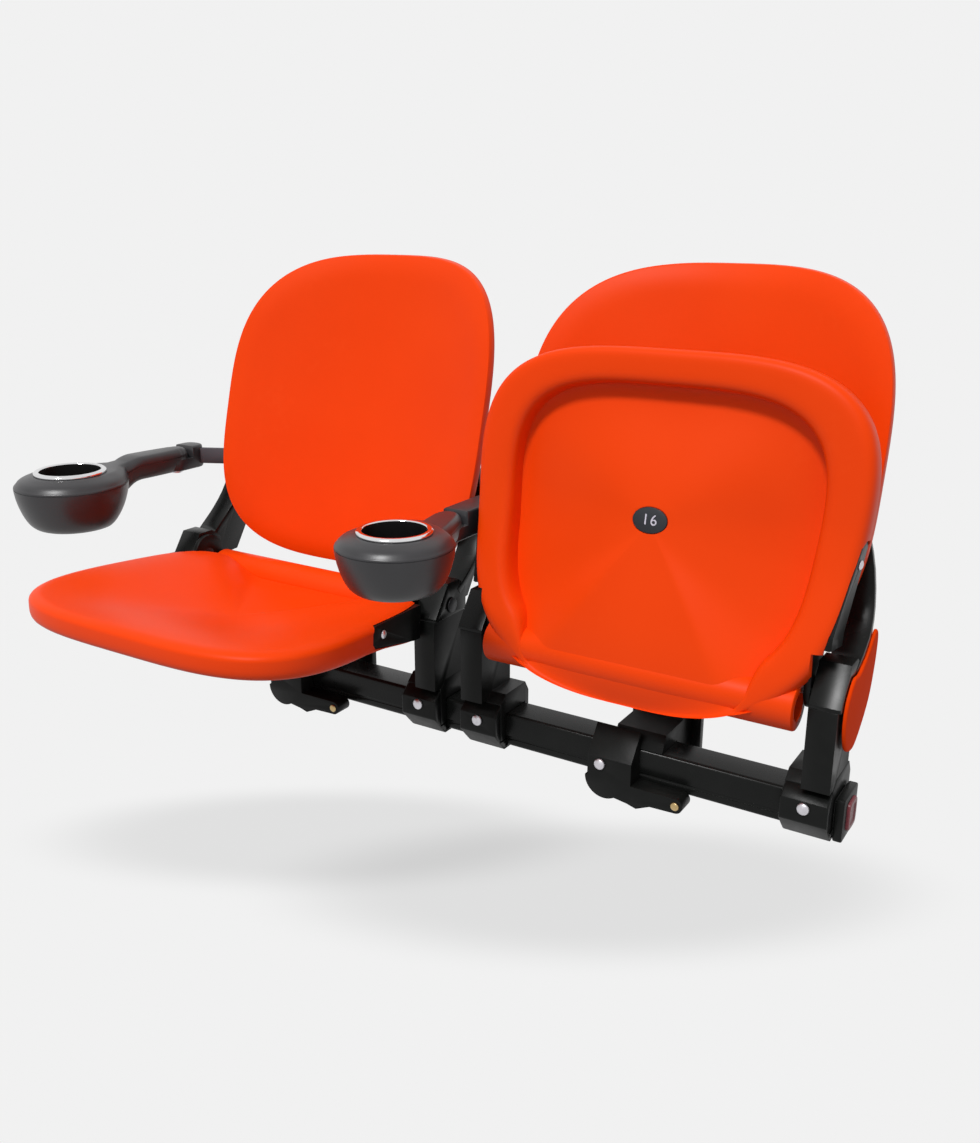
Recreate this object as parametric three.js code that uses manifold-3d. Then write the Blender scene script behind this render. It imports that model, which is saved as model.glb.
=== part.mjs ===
// A pair of tip-up stadium seats on one beam, the left seat down and the right seat up.
// Sizes are in millimetres. X runs along the row, the sitter faces -Y and +Z is up.
// The parts are built about the beam: Y = 0 is its middle and Z = 0 its underside.
// The whole unit is then moved so that the origin lies on the riser wall, midway between
// the two wall brackets.

import * as THREE from 'three';
import { mergeVertices } from 'three/addons/utils/BufferGeometryUtils.js';
import Module from 'manifold-3d';

const wasm = await Module();
wasm.setup();

// Driving dimensions

const clearance = 0.3;      // left between pieces that seat on each other
const overrun = 3;          // how far a cutting tool runs past the surface it opens
const turn = Math.PI / 180;

// The pan turns about this line; the head of every standard is built round it.
const hinge = { y: -12, z: 168, pinRadius: 8, pinHead: 9.5, pinHeadThickness: 1.5, running: 0.5 };
const tip = { down: 4.1, up: 100.1 };   // degrees above level, seat down and seat up

// The underside sags towards the hinge, and the rolled rim runs in to a V there.
const pan = {
  width: 474, rear: -51.4, front: 334, cornerPower: 3.6,
  rearTaperShare: 0.14, rearBulge: 12, rearBulgeShare: 0.6,
  sideRim: 9.4, frontRim: 4, rearRim: -20, rearRimShare: 0.45, dish: 24, dishSpreadShare: 0.93,
  wall: 6, rollFloor: -28, rollPower: 2.6, rollWidthShare: 0.21, thinRollShare: 0.02,
  rollEndShare: 0.55, rollStartShare: 0.88, edgeDrop: 10,
  sag: 22, sagStartShare: 0.12, sagSpreadShare: 0.95, heel: 20,
};
const barrel = { ahead: -24.4, below: -23.7, radius: 26, halfLength: 187.5, bore: 15.5 };
const balance = { radius: 15, halfLength: 170 };

const back = {
  width: 442, height: 439, lean: 15.7, centreY: 128.4, centreZ: 371.8, cornerPower: 3.2,
  wrap: 59, wall: 5, flange: 14, flangeWall: 6, edgeRoll: 6, edgeRollShare: 0.14,
};

// Side by side, the pans and the backs keep at least these gaps.
const panGap = 26;
const backGap = 58;
const seatPitch = Math.max(pan.width + panGap, back.width + backGap);

// The four standards stand this far either side of a seat's middle.
const standard = {
  offset: 205, footWidth: 52, stemInner: 199.5, stemOuter: 230.5,
  stemFront: 36, stemRear: 32, stemTop: 154,
  saddleFront: 12.4, saddleTop: 27, saddleRear: 9, saddleDrop: 5, topBack: 24,
};

const beam = {
  overhang: 1, depth: 46, height: 43, wall: 3, corner: 5, grooveDepth: 1, grooveWidth: 4, grooveZ: 12,
};
const beamLength = seatPitch + 2 * standard.offset + standard.footWidth + 2 * beam.overhang;
const cap = { lip: 4, thickness: 10, chamfer: 4, spigot: 22 };
const jaw = { thickness: 14, lip: 5, slopeFoot: 47, tuck: 26, toeZ: 22 };
const clampBolt = { z: 39, radius: 7.5, shank: 4, dome: 4.5, length: 20 };

const head = {
  outer: 233, frontFoot: 4, topFront: -8, topRear: 16, height: 30, rearShoulder: 12, undercut: 0.3,
};
const strap = { width: 32, thickness: 9, webInner: 204, webThickness: 8 };
const backScrew = { radius: 9, dome: 3.5, shank: 3.5, length: 11 };

// The plate of a hinge arm splays outward by this many degrees to follow the pan's side.
const arm = {
  inner: 190.5, hubThickness: 7, hubRadius: 27, outer: 208, plateThickness: 7.5, splay: 7,
  jogStart: 43, jogEnd: 57, reach: 158, top: 6, tipBottom: -21, rootBottom: -37, nose: 7,
};
const armBolt = { ahead: 133, below: -8, radius: 5.5, shank: 3.5, dome: 3, length: 20 };
const pocket = { side: 1, headClear: 42, stemDepth: 60 };

const disc = { width: 41, height: 29, thickness: 2.5, ahead: 147, seatZ: -28.4 };

const cover = { rim: 231, outer: 237.4, wall: 2, bevel: 3 };
const coverOutline = [
  // back from the beam's middle, up
  [-36, 161], [-17, 181.5], [4, 182], [27, 192], [48, 209], [63, 222], [75, 222], [80, 204],
  [76, 168], [64, 137], [40, 113], [5, 95], [-26, 106], [-39, 134],
];

const bracket = {
  wallY: 70, plateWidth: 90, plateThickness: 9, plateBottom: -46, plateTop: 100, plateCorner: 8,
  stemWidth: 62, saddleWidth: 78, saddleTop: 20, saddleRear: 14, holeRadius: 6, holeAcross: 60, holeUp: 112,
};
const hook = {
  front: 24, slopeFoot: 33, slopeTop: 22, left: -52, right: 4, lobeX: -30, lobeZ: 6, lobeRadius: 25,
  secondX: 12, secondRadius: 17, secondZ: -4, tongueX: 60, tongueRadius: 9, tongueZ: -3.4, underDepth: 44,
};
const hookBolt = { x: -36, z: 24, radius: 7.5, shank: 4, dome: 4.5, length: 18 };
const tongueBolt = { radius: 5.5, shank: 3.5, dome: 3, length: 16 };

// One pear-shaped body: a cup that flows into an arm. Heights are below the top of the arm.
const armrest = {
  height: 34, lap: 17, endRadius: 18, middleHalf: 23, middleAt: 105, reach: 174,
  lapFree: 6, stepFree: 1.5, edge: 3.5, cupRadius: 64, neck: 30, liftShare: 0.85,
  recessRadius: 37.5, recessDepth: 50,
};
// Each level of the body: how far below the top and how far inside the outline, at the cup and at the arm.
const armrestLevels = [
  { cupDown: 0, cupIn: 21, armDown: 0, armIn: 10 },
  { cupDown: 1, cupIn: 17, armDown: 1, armIn: 6 },
  { cupDown: 5, cupIn: 7, armDown: 4, armIn: 2.5 },
  { cupDown: 10, cupIn: 2, armDown: 8, armIn: 0.5 },
  { cupDown: 14, cupIn: 0, armDown: 12, armIn: 0 },
  { cupDown: 29, cupIn: 2, armDown: 20, armIn: 0.7 },
  { cupDown: 45, cupIn: 7, armDown: 27, armIn: 2.5 },
  { cupDown: 56, cupIn: 13, armDown: 32, armIn: 5.5 },
  { cupDown: 62, cupIn: 20, armDown: 33.5, armIn: 8 },
  { cupDown: 64, cupIn: 28, armDown: 34, armIn: 11 },
];
const liner = { ringRadius: 41, ringHeight: 4, boreRadius: 34.5, wall: 2.4, depth: 46, floor: 2.5 };
const swingPin = { radius: 5, head: 9, headThickness: 3, under: 6 };
const bar = { height: 23, thickness: 6, down: 16.5, inset: 18, y: 97, reach: 18, strapAcross: 199 };
// A cup holder swings on a pin at the front of a fixed arm. Angles are towards +X.
// Both arms hang on the left back arm of a seat: one outside the left seat, one between the seats.
// The cup stands higher than its arm by its rise, and its size is a multiple of the sizes above.
const besideLeftSeat = 295;
const armrests = [
  {
    name: 'left', x: -seatPitch / 2 - besideLeftSeat, pinY: 33, rearY: 80, angle: -6.5, seatX: -seatPitch / 2,
    top: 305, rise: -8, cupSize: 1.18,
  },
  {
    name: 'middle', x: 0, pinY: -46, rearY: 60, angle: 16, seatX: seatPitch / 2,
    top: 298, rise: 23, cupSize: 1,
  },
];

// Colours and finishes

const finishes = {
  orange: { color: 0xf04410, roughness: 0.42, metalness: 0 },
  steel: { color: 0x161816, roughness: 0.35, metalness: 0.2 },
  casting: { color: 0x141614, roughness: 0.5, metalness: 0.1 },
  zinc: { color: 0xc9c6cc, roughness: 0.3, metalness: 0.9 },
  brass: { color: 0xb89a6a, roughness: 0.35, metalness: 0.9 },
  chrome: { color: 0xd8d8dc, roughness: 0.1, metalness: 1 },
  armrest: { color: 0x3a393d, roughness: 0.35, metalness: 0 },
  bar: { color: 0x58565c, roughness: 0.5, metalness: 0.2 },
  disc: { color: 0x26292c, roughness: 0.5, metalness: 0 },
};
const materials = Object.fromEntries(
  Object.entries(finishes).map(([name, finish]) => [name, new THREE.MeshStandardMaterial(finish)]),
);

// Solids: cutting and joining closed meshes

function solidOf(geometry) {
  const bare = geometry.clone();
  bare.deleteAttribute('normal');
  bare.deleteAttribute('uv');
  const merged = mergeVertices(bare, 1e-4);
  const vertProperties = new Float32Array(merged.attributes.position.array);
  const triVerts = new Uint32Array(merged.index.array);
  return new wasm.Manifold(new wasm.Mesh({ numProp: 3, vertProperties, triVerts }));
}

function geometryOf(solid) {
  const mesh = solid.getMesh();
  const geometry = new THREE.BufferGeometry();
  geometry.setAttribute('position', new THREE.BufferAttribute(new Float32Array(mesh.vertProperties), 3));
  geometry.setIndex(new THREE.BufferAttribute(new Uint32Array(mesh.triVerts), 1));
  geometry.computeVertexNormals();
  return geometry;
}

function join(...geometries) {
  return geometryOf(geometries.map(solidOf).reduce((whole, piece) => whole.add(piece)));
}

function cut(geometry, ...tools) {
  return geometryOf(tools.map(solidOf).reduce((whole, tool) => whole.subtract(tool), solidOf(geometry)));
}

// Basic forms

function block(x0, x1, y0, y1, z0, z1) {
  const box = new THREE.BoxGeometry(x1 - x0, y1 - y0, z1 - z0);
  return box.translate((x0 + x1) / 2, (y0 + y1) / 2, (z0 + z1) / 2);
}

function shapeOf(points) {
  return new THREE.Shape(points.map(([a, b]) => new THREE.Vector2(a, b)));
}

function roundedShape(width, height, radius) {
  const shape = new THREE.Shape();
  const w = width / 2;
  const h = height / 2;
  shape.moveTo(-w + radius, -h);
  shape.lineTo(w - radius, -h);
  shape.absarc(w - radius, -h + radius, radius, -Math.PI / 2, 0);
  shape.lineTo(w, h - radius);
  shape.absarc(w - radius, h - radius, radius, 0, Math.PI / 2);
  shape.lineTo(-w + radius, h);
  shape.absarc(-w + radius, h - radius, radius, Math.PI / 2, Math.PI);
  shape.lineTo(-w, -h + radius);
  shape.absarc(-w + radius, -h + radius, radius, Math.PI, Math.PI * 1.5);
  return shape;
}

// A shape drawn in Y and Z, given thickness from x0 to x1.
function alongX(shape, x0, x1, bevel = 0, curveSegments = 4) {
  const solid = new THREE.ExtrudeGeometry(shape, {
    depth: x1 - x0 - 2 * bevel, steps: 1, curveSegments,
    bevelEnabled: bevel > 0, bevelThickness: bevel, bevelSize: bevel, bevelOffset: -bevel, bevelSegments: 2,
  });
  solid.applyMatrix4(new THREE.Matrix4().set(0, 0, 1, x0 + bevel, 1, 0, 0, 0, 0, 1, 0, 0, 0, 0, 0, 1));
  return solid;
}

// A shape drawn in X and Z, given depth from y0 to y1.
function alongY(shape, y0, y1, bevel = 0, curveSegments = 6) {
  const solid = new THREE.ExtrudeGeometry(shape, {
    depth: y1 - y0 - 2 * bevel, steps: 1, curveSegments,
    bevelEnabled: bevel > 0, bevelThickness: bevel, bevelSize: bevel, bevelOffset: -bevel, bevelSegments: 2,
  });
  solid.applyMatrix4(new THREE.Matrix4().set(1, 0, 0, 0, 0, 0, -1, y1 - bevel, 0, 1, 0, 0, 0, 0, 0, 1));
  return solid;
}

function rodAlongX(radius, x0, x1, y, z, sides = 20) {
  const rod = new THREE.CylinderGeometry(radius, radius, x1 - x0, sides);
  return rod.rotateZ(-Math.PI / 2).translate((x0 + x1) / 2, y, z);
}

function rodAlongY(radius, y0, y1, x, z, sides = 20) {
  const rod = new THREE.CylinderGeometry(radius, radius, y1 - y0, sides);
  return rod.translate(x, (y0 + y1) / 2, z);
}

// A screw standing on its shank: the dome rises from the origin along +Y and the shank runs down.
function domedScrew(size, sides = 14) {
  const rise = size.dome;
  const steps = 3;
  const profile = [new THREE.Vector2(0, -size.length), new THREE.Vector2(size.shank, -size.length)];
  profile.push(new THREE.Vector2(size.shank, 0), new THREE.Vector2(size.radius, 0));
  for (let step = 1; step <= steps; step += 1) {
    const angle = (Math.PI / 2) * (step / steps);
    profile.push(new THREE.Vector2(step === steps ? 0 : size.radius * Math.cos(angle), rise * Math.sin(angle)));
  }
  return new THREE.LatheGeometry(profile, sides);
}

// Rings of points, each joined to the next; the first and last close to a point or a flat end.
function loft(rings, closeStart = true, closeEnd = true) {
  const count = rings[0].length;
  const positions = rings.flat().flatMap((point) => [point.x, point.y, point.z]);
  const index = [];
  for (let ring = 0; ring + 1 < rings.length; ring += 1) {
    for (let k = 0; k < count; k += 1) {
      const a = ring * count + k;
      const b = ring * count + ((k + 1) % count);
      index.push(a, b, b + count, a, b + count, a + count);
    }
  }
  const addEnd = (ring, flip) => {
    const centre = rings[ring].reduce((sum, point) => sum.add(point), new THREE.Vector3()).divideScalar(count);
    const middle = positions.length / 3;
    positions.push(centre.x, centre.y, centre.z);
    for (let k = 0; k < count; k += 1) {
      const a = ring * count + k;
      const b = ring * count + ((k + 1) % count);
      index.push(...(flip ? [a, middle, b] : [a, b, middle]));
    }
  };
  if (closeStart) addEnd(0, true);
  if (closeEnd) addEnd(rings.length - 1, false);
  const geometry = new THREE.BufferGeometry();
  geometry.setAttribute('position', new THREE.Float32BufferAttribute(positions, 3));
  geometry.setIndex(index);
  geometry.computeVertexNormals();
  return geometry;
}

function mirrored(geometry) {
  const copy = geometry.clone().applyMatrix4(new THREE.Matrix4().makeScale(-1, 1, 1));
  const count = copy.attributes.position.count;
  const index = copy.index ? copy.index.array : Uint32Array.from({ length: count }, (_, k) => k);
  const flipped = new Uint32Array(index.length);
  for (let k = 0; k < index.length; k += 3) {
    flipped.set([index[k], index[k + 2], index[k + 1]], k);
  }
  copy.setIndex(new THREE.BufferAttribute(flipped, 1));
  copy.computeVertexNormals();
  return copy;
}

// The part is a tree: the unit holds everything in the beam's own frame.

const unit = new THREE.Group();
unit.position.set(0, -bracket.wallY, -(bracket.plateBottom + bracket.plateTop) / 2);

function piece(name, geometry, finish, group = unit) {
  const mesh = new THREE.Mesh(geometry, materials[finish]);
  mesh.name = name;
  group.add(mesh);
  return mesh;
}

const seats = [
  { name: 'left', x: -seatPitch / 2, angle: tip.down },
  { name: 'right', x: seatPitch / 2, angle: tip.up },
];
const hands = [
  { name: 'left', sign: -1 },
  { name: 'right', sign: 1 },
];

// Each piece that stands beside a seat is drawn for its right side and mirrored for its left.
function besideSeat(geometry, seat, hand) {
  const handed = hand.sign > 0 ? geometry.clone() : mirrored(geometry);
  return handed.translate(seat.x, 0, 0);
}

// Beam and its end caps

function beamTube() {
  const outer = roundedShape(beam.depth, beam.height, beam.corner);
  const hole = roundedShape(beam.depth - 2 * beam.wall, beam.height - 2 * beam.wall, beam.corner - beam.wall);
  outer.holes.push(new THREE.Path(hole.getPoints(3)));
  const tube = alongX(outer, -beamLength / 2, beamLength / 2, 0, 3).translate(0, 0, beam.height / 2);
  const groove = block(
    -beamLength / 2 - overrun, beamLength / 2 + overrun,
    -beam.depth / 2 - overrun, -beam.depth / 2 + beam.grooveDepth,
    beam.grooveZ - beam.grooveWidth / 2, beam.grooveZ + beam.grooveWidth / 2,
  );
  return cut(tube, groove);
}

function endCap() {
  const start = beamLength / 2 + clearance;
  const inside = 2 * (beam.wall + clearance);
  const plateDepth = beam.depth + 2 * cap.lip;
  const plateHeight = beam.height + 2 * cap.lip;
  const plate = alongX(roundedShape(plateDepth, plateHeight, cap.chamfer), start, start + cap.thickness, 1.5, 1);
  const spigotShape = roundedShape(beam.depth - inside, beam.height - inside, beam.corner - beam.wall);
  const spigot = alongX(spigotShape, start - cap.spigot, start + cap.thickness / 2, 0, 2);
  return join(plate, spigot).translate(0, 0, beam.height / 2);
}

piece('beam', beamTube(), 'steel');
for (const hand of hands) {
  piece(`beam_end_cap_${hand.name}`, hand.sign > 0 ? endCap() : mirrored(endCap()), 'casting');
}

// Standards: a saddle over the beam with a stem that carries the hinge head

const frontOfBeam = -beam.depth / 2 - clearance;
const rearOfBeam = beam.depth / 2 + clearance;
const footInner = standard.offset - standard.footWidth / 2;
const footOuter = standard.offset + standard.footWidth / 2;
const saddleFrontY = frontOfBeam - standard.saddleFront;
const jawBackY = saddleFrontY - clearance;
const jawFrontY = jawBackY - jaw.thickness;
const saddleTopZ = beam.height + standard.saddleTop;
const slopeRun = -standard.topBack - jawFrontY;
const slopeRise = saddleTopZ - jaw.slopeFoot;
const onSlope = (y) => jaw.slopeFoot + ((y - jawFrontY) * slopeRise) / slopeRun;
const stemFrontY = hinge.y - standard.stemFront;
const stemRearY = hinge.y + standard.stemRear;

function standardCasting() {
  const toe = jaw.lip + clearance + jaw.lip;
  const saddle = shapeOf([
    [saddleFrontY, toe], [frontOfBeam, toe], [frontOfBeam, beam.height + clearance],
    [rearOfBeam, beam.height + clearance], [rearOfBeam, -standard.saddleDrop],
    [rearOfBeam + standard.saddleRear, -standard.saddleDrop],
    [rearOfBeam + standard.saddleRear, beam.height + standard.saddleTop / 2],
    [standard.topBack, saddleTopZ], [-standard.topBack, saddleTopZ], [saddleFrontY, onSlope(saddleFrontY)],
  ]);
  const stemFoot = onSlope(jawBackY) + clearance + 1;
  const stem = shapeOf([
    [stemFrontY, stemFoot], [stemRearY, stemFoot], [stemRearY, standard.stemTop], [stemFrontY, standard.stemTop],
  ]);
  const body = join(
    alongX(saddle, footInner, footOuter),
    alongX(stem, standard.stemInner, standard.stemOuter),
  );
  const boltHole = rodAlongY(
    clampBolt.shank + clearance, saddleFrontY - overrun, frontOfBeam + overrun, standard.offset, clampBolt.z, 12,
  );
  return cut(body, boltHole);
}

function clampJaw() {
  const shoulder = jaw.lip + jaw.lip;
  const outline = shapeOf([
    [jawFrontY, jaw.slopeFoot], [jawFrontY, jaw.toeZ], [-jaw.tuck, -jaw.lip],
    [rearOfBeam - 2 * clearance, -jaw.lip], [rearOfBeam - 2 * clearance, -clearance],
    [frontOfBeam, -clearance], [frontOfBeam, shoulder],
    [jawBackY, shoulder], [jawBackY, onSlope(jawBackY)],
  ]);
  const boltHole = rodAlongY(
    clampBolt.shank + clearance, jawFrontY - overrun, jawBackY + overrun, standard.offset, clampBolt.z, 12,
  );
  return cut(alongX(outline, footInner, footOuter), boltHole);
}

// Turns a screw so that its head faces the sitter's side.
function facingFront(screw, x, y, z) {
  return screw.rotateX(Math.PI).translate(x, y, z);
}

// Back arms: a head that carries the hinge pin, and a bent flat strap up to the back

const headFootZ = standard.stemTop + head.undercut;
const headTopZ = hinge.z + head.height;
const strapPath = [
  // across from the seat's middle, back from the beam, up
  [217.5, 4, 182], [218.5, 24, 197], [218.5, 44, 213], [215, 64, 238], [206, 81, 280], [193, 91, 318], [186, 95, 346],
];

function strapRibbon(spread = 0) {
  const curve = new THREE.CatmullRomCurve3(strapPath.map(([x, y, z]) => new THREE.Vector3(x, y, z)));
  const stations = 14;
  const rings = [];
  for (let k = 0; k <= stations; k += 1) {
    const centre = curve.getPoint(k / stations);
    const along = curve.getTangent(k / stations);
    const normal = new THREE.Vector3(0, -along.z, along.y).normalize();
    const side = new THREE.Vector3(1, 0, 0);
    const corner = (across, out) => centre.clone()
      .addScaledVector(side, across * (strap.width / 2 + spread))
      .addScaledVector(normal, out * (strap.thickness / 2 + spread));
    rings.push([corner(-1, -1), corner(-1, 1), corner(1, 1), corner(1, -1)]);
  }
  return loft(rings);
}

// A web stiffens the strap from below: its lower edge, back from the beam and up.
const webEdge = [[stemRearY - 2, headFootZ], [57, 157], [79, 190], [89, 232], [88, 262]];

function headBlock(spread = 0) {
  const outline = shapeOf([
    [stemFrontY - spread, headFootZ - spread], [stemRearY + spread, headFootZ - spread],
    [stemRearY + spread, headTopZ - head.rearShoulder + spread],
    [hinge.y + head.topRear + spread, headTopZ + spread], [hinge.y + head.topFront - spread, headTopZ + spread],
    [stemFrontY - spread, headFootZ + head.frontFoot + spread],
  ]);
  return alongX(outline, standard.stemInner - spread, head.outer + spread);
}

function strapWeb() {
  const upper = strapPath.slice(0, 5).map(([, y, z]) => [y, z]).reverse();
  return alongX(shapeOf([...webEdge, ...upper]), strap.webInner, strap.webInner + strap.webThickness);
}

function backArm() {
  const pinHole = rodAlongX(
    hinge.pinRadius + clearance, standard.stemInner - overrun, head.outer + overrun, hinge.y, hinge.z, 20,
  );
  const [x, y, z] = strapPath[strapPath.length - 2];
  const screwHole = rodAlongY(
    backScrew.shank + clearance, y - strap.thickness - overrun, y + strap.thickness + overrun, x, z, 12,
  );
  return cut(join(headBlock(), strapRibbon(), strapWeb()), pinHole, screwHole);
}

function pivotPin() {
  const shank = rodAlongX(hinge.pinRadius, arm.inner, head.outer + clearance + 1, hinge.y, hinge.z, 20);
  const headStart = head.outer + clearance;
  const flange = rodAlongX(hinge.pinHead, headStart, headStart + hinge.pinHeadThickness, hinge.y, hinge.z, 16);
  return join(shank, flange);
}

// The seat pan, its hinge arms and what is fixed to them are drawn level:
// forward of the hinge is -Y, above it +Z, and the group that holds them is turned.

const panSpan = pan.front - pan.rear;
const signedPower = (value, power) => Math.sign(value) * Math.abs(value) ** power;
const smooth = (t) => t * t * (3 - 2 * t);
const clamped = (t) => Math.min(1, Math.max(0, t));

// A place on the pan: a direction round its outline and a share of the way out to it.
function panPlace(angle, share) {
  const u = signedPower(Math.cos(angle), 2 / pan.cornerPower);
  const v = signedPower(Math.sin(angle), 2 / pan.cornerPower);
  const taper = 1 - pan.rearTaperShare * ((1 - share * v) / 2) ** 2;
  const bulge = v < 0 ? pan.rearBulge * share * clamped(1 - (u / pan.rearBulgeShare) ** 2) : 0;
  const fall = smooth(clamped((1 - Math.abs(u)) / pan.rearRimShare));
  const rim = v > 0
    ? pan.sideRim + (pan.frontRim - pan.sideRim) * v * v
    : pan.sideRim + (pan.rearRim - pan.sideRim) * fall;
  const kept = smooth(clamped((Math.abs(u) - pan.rollEndShare) / (pan.rollStartShare - pan.rollEndShare)));
  return {
    share, rim, along: share * v, x: (share * u * taper * pan.width) / 2,
    ahead: pan.rear + (panSpan * (share * v + 1)) / 2 - bulge,
    rollShare: Math.max(pan.rollWidthShare * (v > 0 ? 1 : kept), pan.thinRollShare),
  };
}

function panTop(at) {
  const lift = smooth(clamped(at.share / pan.dishSpreadShare));
  const dished = -pan.dish + (at.rim + pan.dish) * lift;
  const edge = clamped((at.share - pan.dishSpreadShare) / (1 - pan.dishSpreadShare));
  return dished - pan.edgeDrop * (1 - Math.sqrt(1 - edge * edge));
}

// The underside is lower towards the hinge, and its heel is rounded up to the rear edge.
function panSag(at) {
  const heelStart = barrel.ahead;
  const heel = clamped((heelStart - at.ahead) / (heelStart - pan.rear + pan.rearBulge));
  const lift = pan.heel * (1 - Math.sqrt(1 - heel * heel));
  return pan.sag * smooth(clamped((pan.sagStartShare - at.along) / pan.sagSpreadShare)) - lift;
}

function panRoll(at, across) {
  const edge = at.rim - pan.edgeDrop;
  const floor = Math.min(pan.rollFloor - panSag(at), edge);
  return edge + (floor - edge) * (1 - Math.abs(across) ** pan.rollPower) ** (1 / pan.rollPower);
}

function panShell() {
  const count = 52;
  const topShares = [0.22, 0.45, 0.65, 0.82, 0.93, 0.97, 0.99, 1];
  const rollSteps = [0.97, 0.85, 0.6, 0.2, -0.3, -0.7, -0.93, -1];   // from the edge across to the crease
  const dishShares = [0.93, 0.8, 0.6, 0.35, 0.15];
  const ringOf = (placeAt, heightAt) => Array.from({ length: count }, (_, k) => {
    const at = placeAt((2 * Math.PI * (k + 0.5)) / count);
    return new THREE.Vector3(at.x, -at.ahead, heightAt(at));
  });
  const rollPlace = (angle, across) => {
    const width = panPlace(angle, 1).rollShare;
    return panPlace(angle, 1 - (width * (1 - across)) / 2);
  };
  const rings = topShares.map((share) => ringOf((angle) => panPlace(angle, share), panTop));
  for (const across of rollSteps) {
    rings.push(ringOf(
      (angle) => rollPlace(angle, across),
      (at) => Math.min(panRoll(at, across), panTop(at) - pan.wall - Math.max(0, panSag(at))),
    ));
  }
  for (const inward of dishShares) {
    rings.push(ringOf(
      (angle) => panPlace(angle, inward * (1 - panPlace(angle, 1).rollShare)),
      (at) => panTop(at) - pan.wall - Math.max(0, panSag(at)),
    ));
  }
  return loft(rings);
}

function armOutline(spread = 0) {
  const nose = arm.nose;
  return shapeOf([
    [-arm.jogStart + spread, arm.top + spread], [-arm.jogStart + spread, arm.rootBottom - spread],
    [-arm.jogEnd, arm.rootBottom - spread], [-arm.reach + nose, arm.tipBottom - spread],
    [-arm.reach - spread, arm.tipBottom + nose], [-arm.reach - spread, arm.top - nose],
    [-arm.reach + nose, arm.top + spread],
  ]);
}

// Swings the plate of a hinge arm, and what goes with it, outward about the foot of its jog.
function splayed(geometry) {
  return geometry.translate(-arm.outer, arm.jogEnd, 0)
    .rotateZ(arm.splay * turn)
    .translate(arm.outer, -arm.jogEnd, 0);
}

function hubOutline(spread = 0) {
  return shapeOf([
    [arm.hubRadius * 0.6, arm.top + spread], [-arm.jogEnd - spread, arm.top + spread],
    [-arm.jogEnd - spread, arm.rootBottom - spread], [-arm.jogStart, arm.rootBottom - spread],
    [0, -arm.hubRadius],
  ]);
}

function jogOutline(spread = 0) {
  return shapeOf([
    [-arm.jogStart + spread, arm.top + spread], [-arm.jogStart + spread, arm.rootBottom - spread],
    [-arm.jogEnd - spread, arm.rootBottom - spread], [-arm.jogEnd - spread, arm.top + spread],
  ]);
}

function hingeArm() {
  const inner = arm.inner;
  const outer = arm.outer + arm.plateThickness;
  const hub = rodAlongX(arm.hubRadius, inner, inner + arm.hubThickness, 0, 0, 24);
  const web = alongX(hubOutline(), inner, inner + arm.hubThickness);
  const jog = alongX(jogOutline(), inner, outer);
  const plate = splayed(alongX(armOutline(), arm.outer, outer));
  const pinHole = rodAlongX(
    hinge.pinRadius + hinge.running, inner - overrun, inner + arm.hubThickness + overrun, 0, 0, 20,
  );
  const boltHole = splayed(rodAlongX(
    armBolt.shank + clearance, arm.outer - overrun, outer + overrun, -armBolt.ahead, armBolt.below, 12,
  ));
  return cut(join(hub, web, jog, plate), pinHole, boltHole);
}

function panWithPockets() {
  let shell = solidOf(panShell());
  shell = shell.add(solidOf(rodAlongX(
    barrel.radius, -barrel.halfLength, barrel.halfLength, -barrel.ahead, barrel.below, 28,
  )));
  const tools = [rodAlongX(
    barrel.bore, -barrel.halfLength - overrun, barrel.halfLength + overrun, -barrel.ahead, barrel.below, 20,
  )];
  tools.push(numberDisc(clearance, -pan.rollFloor));
  const far = pan.width;
  const free = pocket.side;
  const right = [
    splayed(alongX(armOutline(free), arm.outer - free, far)),
    alongX(hubOutline(free), arm.inner - free, far),
    alongX(jogOutline(free), arm.inner - free, far),
    rodAlongX(arm.hubRadius + free, arm.inner - free, far, 0, 0, 24),
    rodAlongX(pocket.headClear, standard.stemInner - free - clearance, far, 0, 0, 24),
    block(
      standard.stemInner - free - clearance, far, -standard.stemFront - free, standard.stemRear,
      -pocket.stemDepth, 0,
    ),
    splayed(rodAlongX(
      armBolt.shank + clearance, arm.outer + arm.plateThickness - armBolt.length - free, far,
      -armBolt.ahead, armBolt.below, 12,
    )),
  ];
  for (const tool of right) tools.push(tool, mirrored(tool));
  for (const tool of tools) shell = shell.subtract(solidOf(tool));
  return geometryOf(shell);
}

function numberDisc(spread = 0, depth = disc.thickness) {
  const shape = new THREE.Shape();
  shape.absellipse(0, 0, disc.width / 2 + spread, disc.height / 2 + spread, 0, 2 * Math.PI);
  const plate = new THREE.ExtrudeGeometry(shape, { depth, steps: 1, curveSegments: 14, bevelEnabled: false });
  return plate.translate(0, -disc.ahead, disc.seatZ + spread - clearance - depth);
}

// Backs

function backRing(share, outAt, count) {
  const ring = [];
  const lean = back.lean * turn;
  for (let k = 0; k < count; k += 1) {
    const angle = (2 * Math.PI * (k + 0.5)) / count;
    const u = share * signedPower(Math.cos(angle), 2 / back.cornerPower);
    const v = share * signedPower(Math.sin(angle), 2 / back.cornerPower);
    const y = back.centreY + (v * back.height * Math.sin(lean)) / 2 - back.wrap * u * u + outAt(share);
    const z = back.centreZ + (v * back.height * Math.cos(lean)) / 2;
    ring.push(new THREE.Vector3((u * back.width) / 2, y, z));
  }
  return ring;
}

function backFace(share) {
  const edge = clamped((share - 1 + back.edgeRollShare) / back.edgeRollShare);
  return back.edgeRoll * edge * edge;
}

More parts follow.
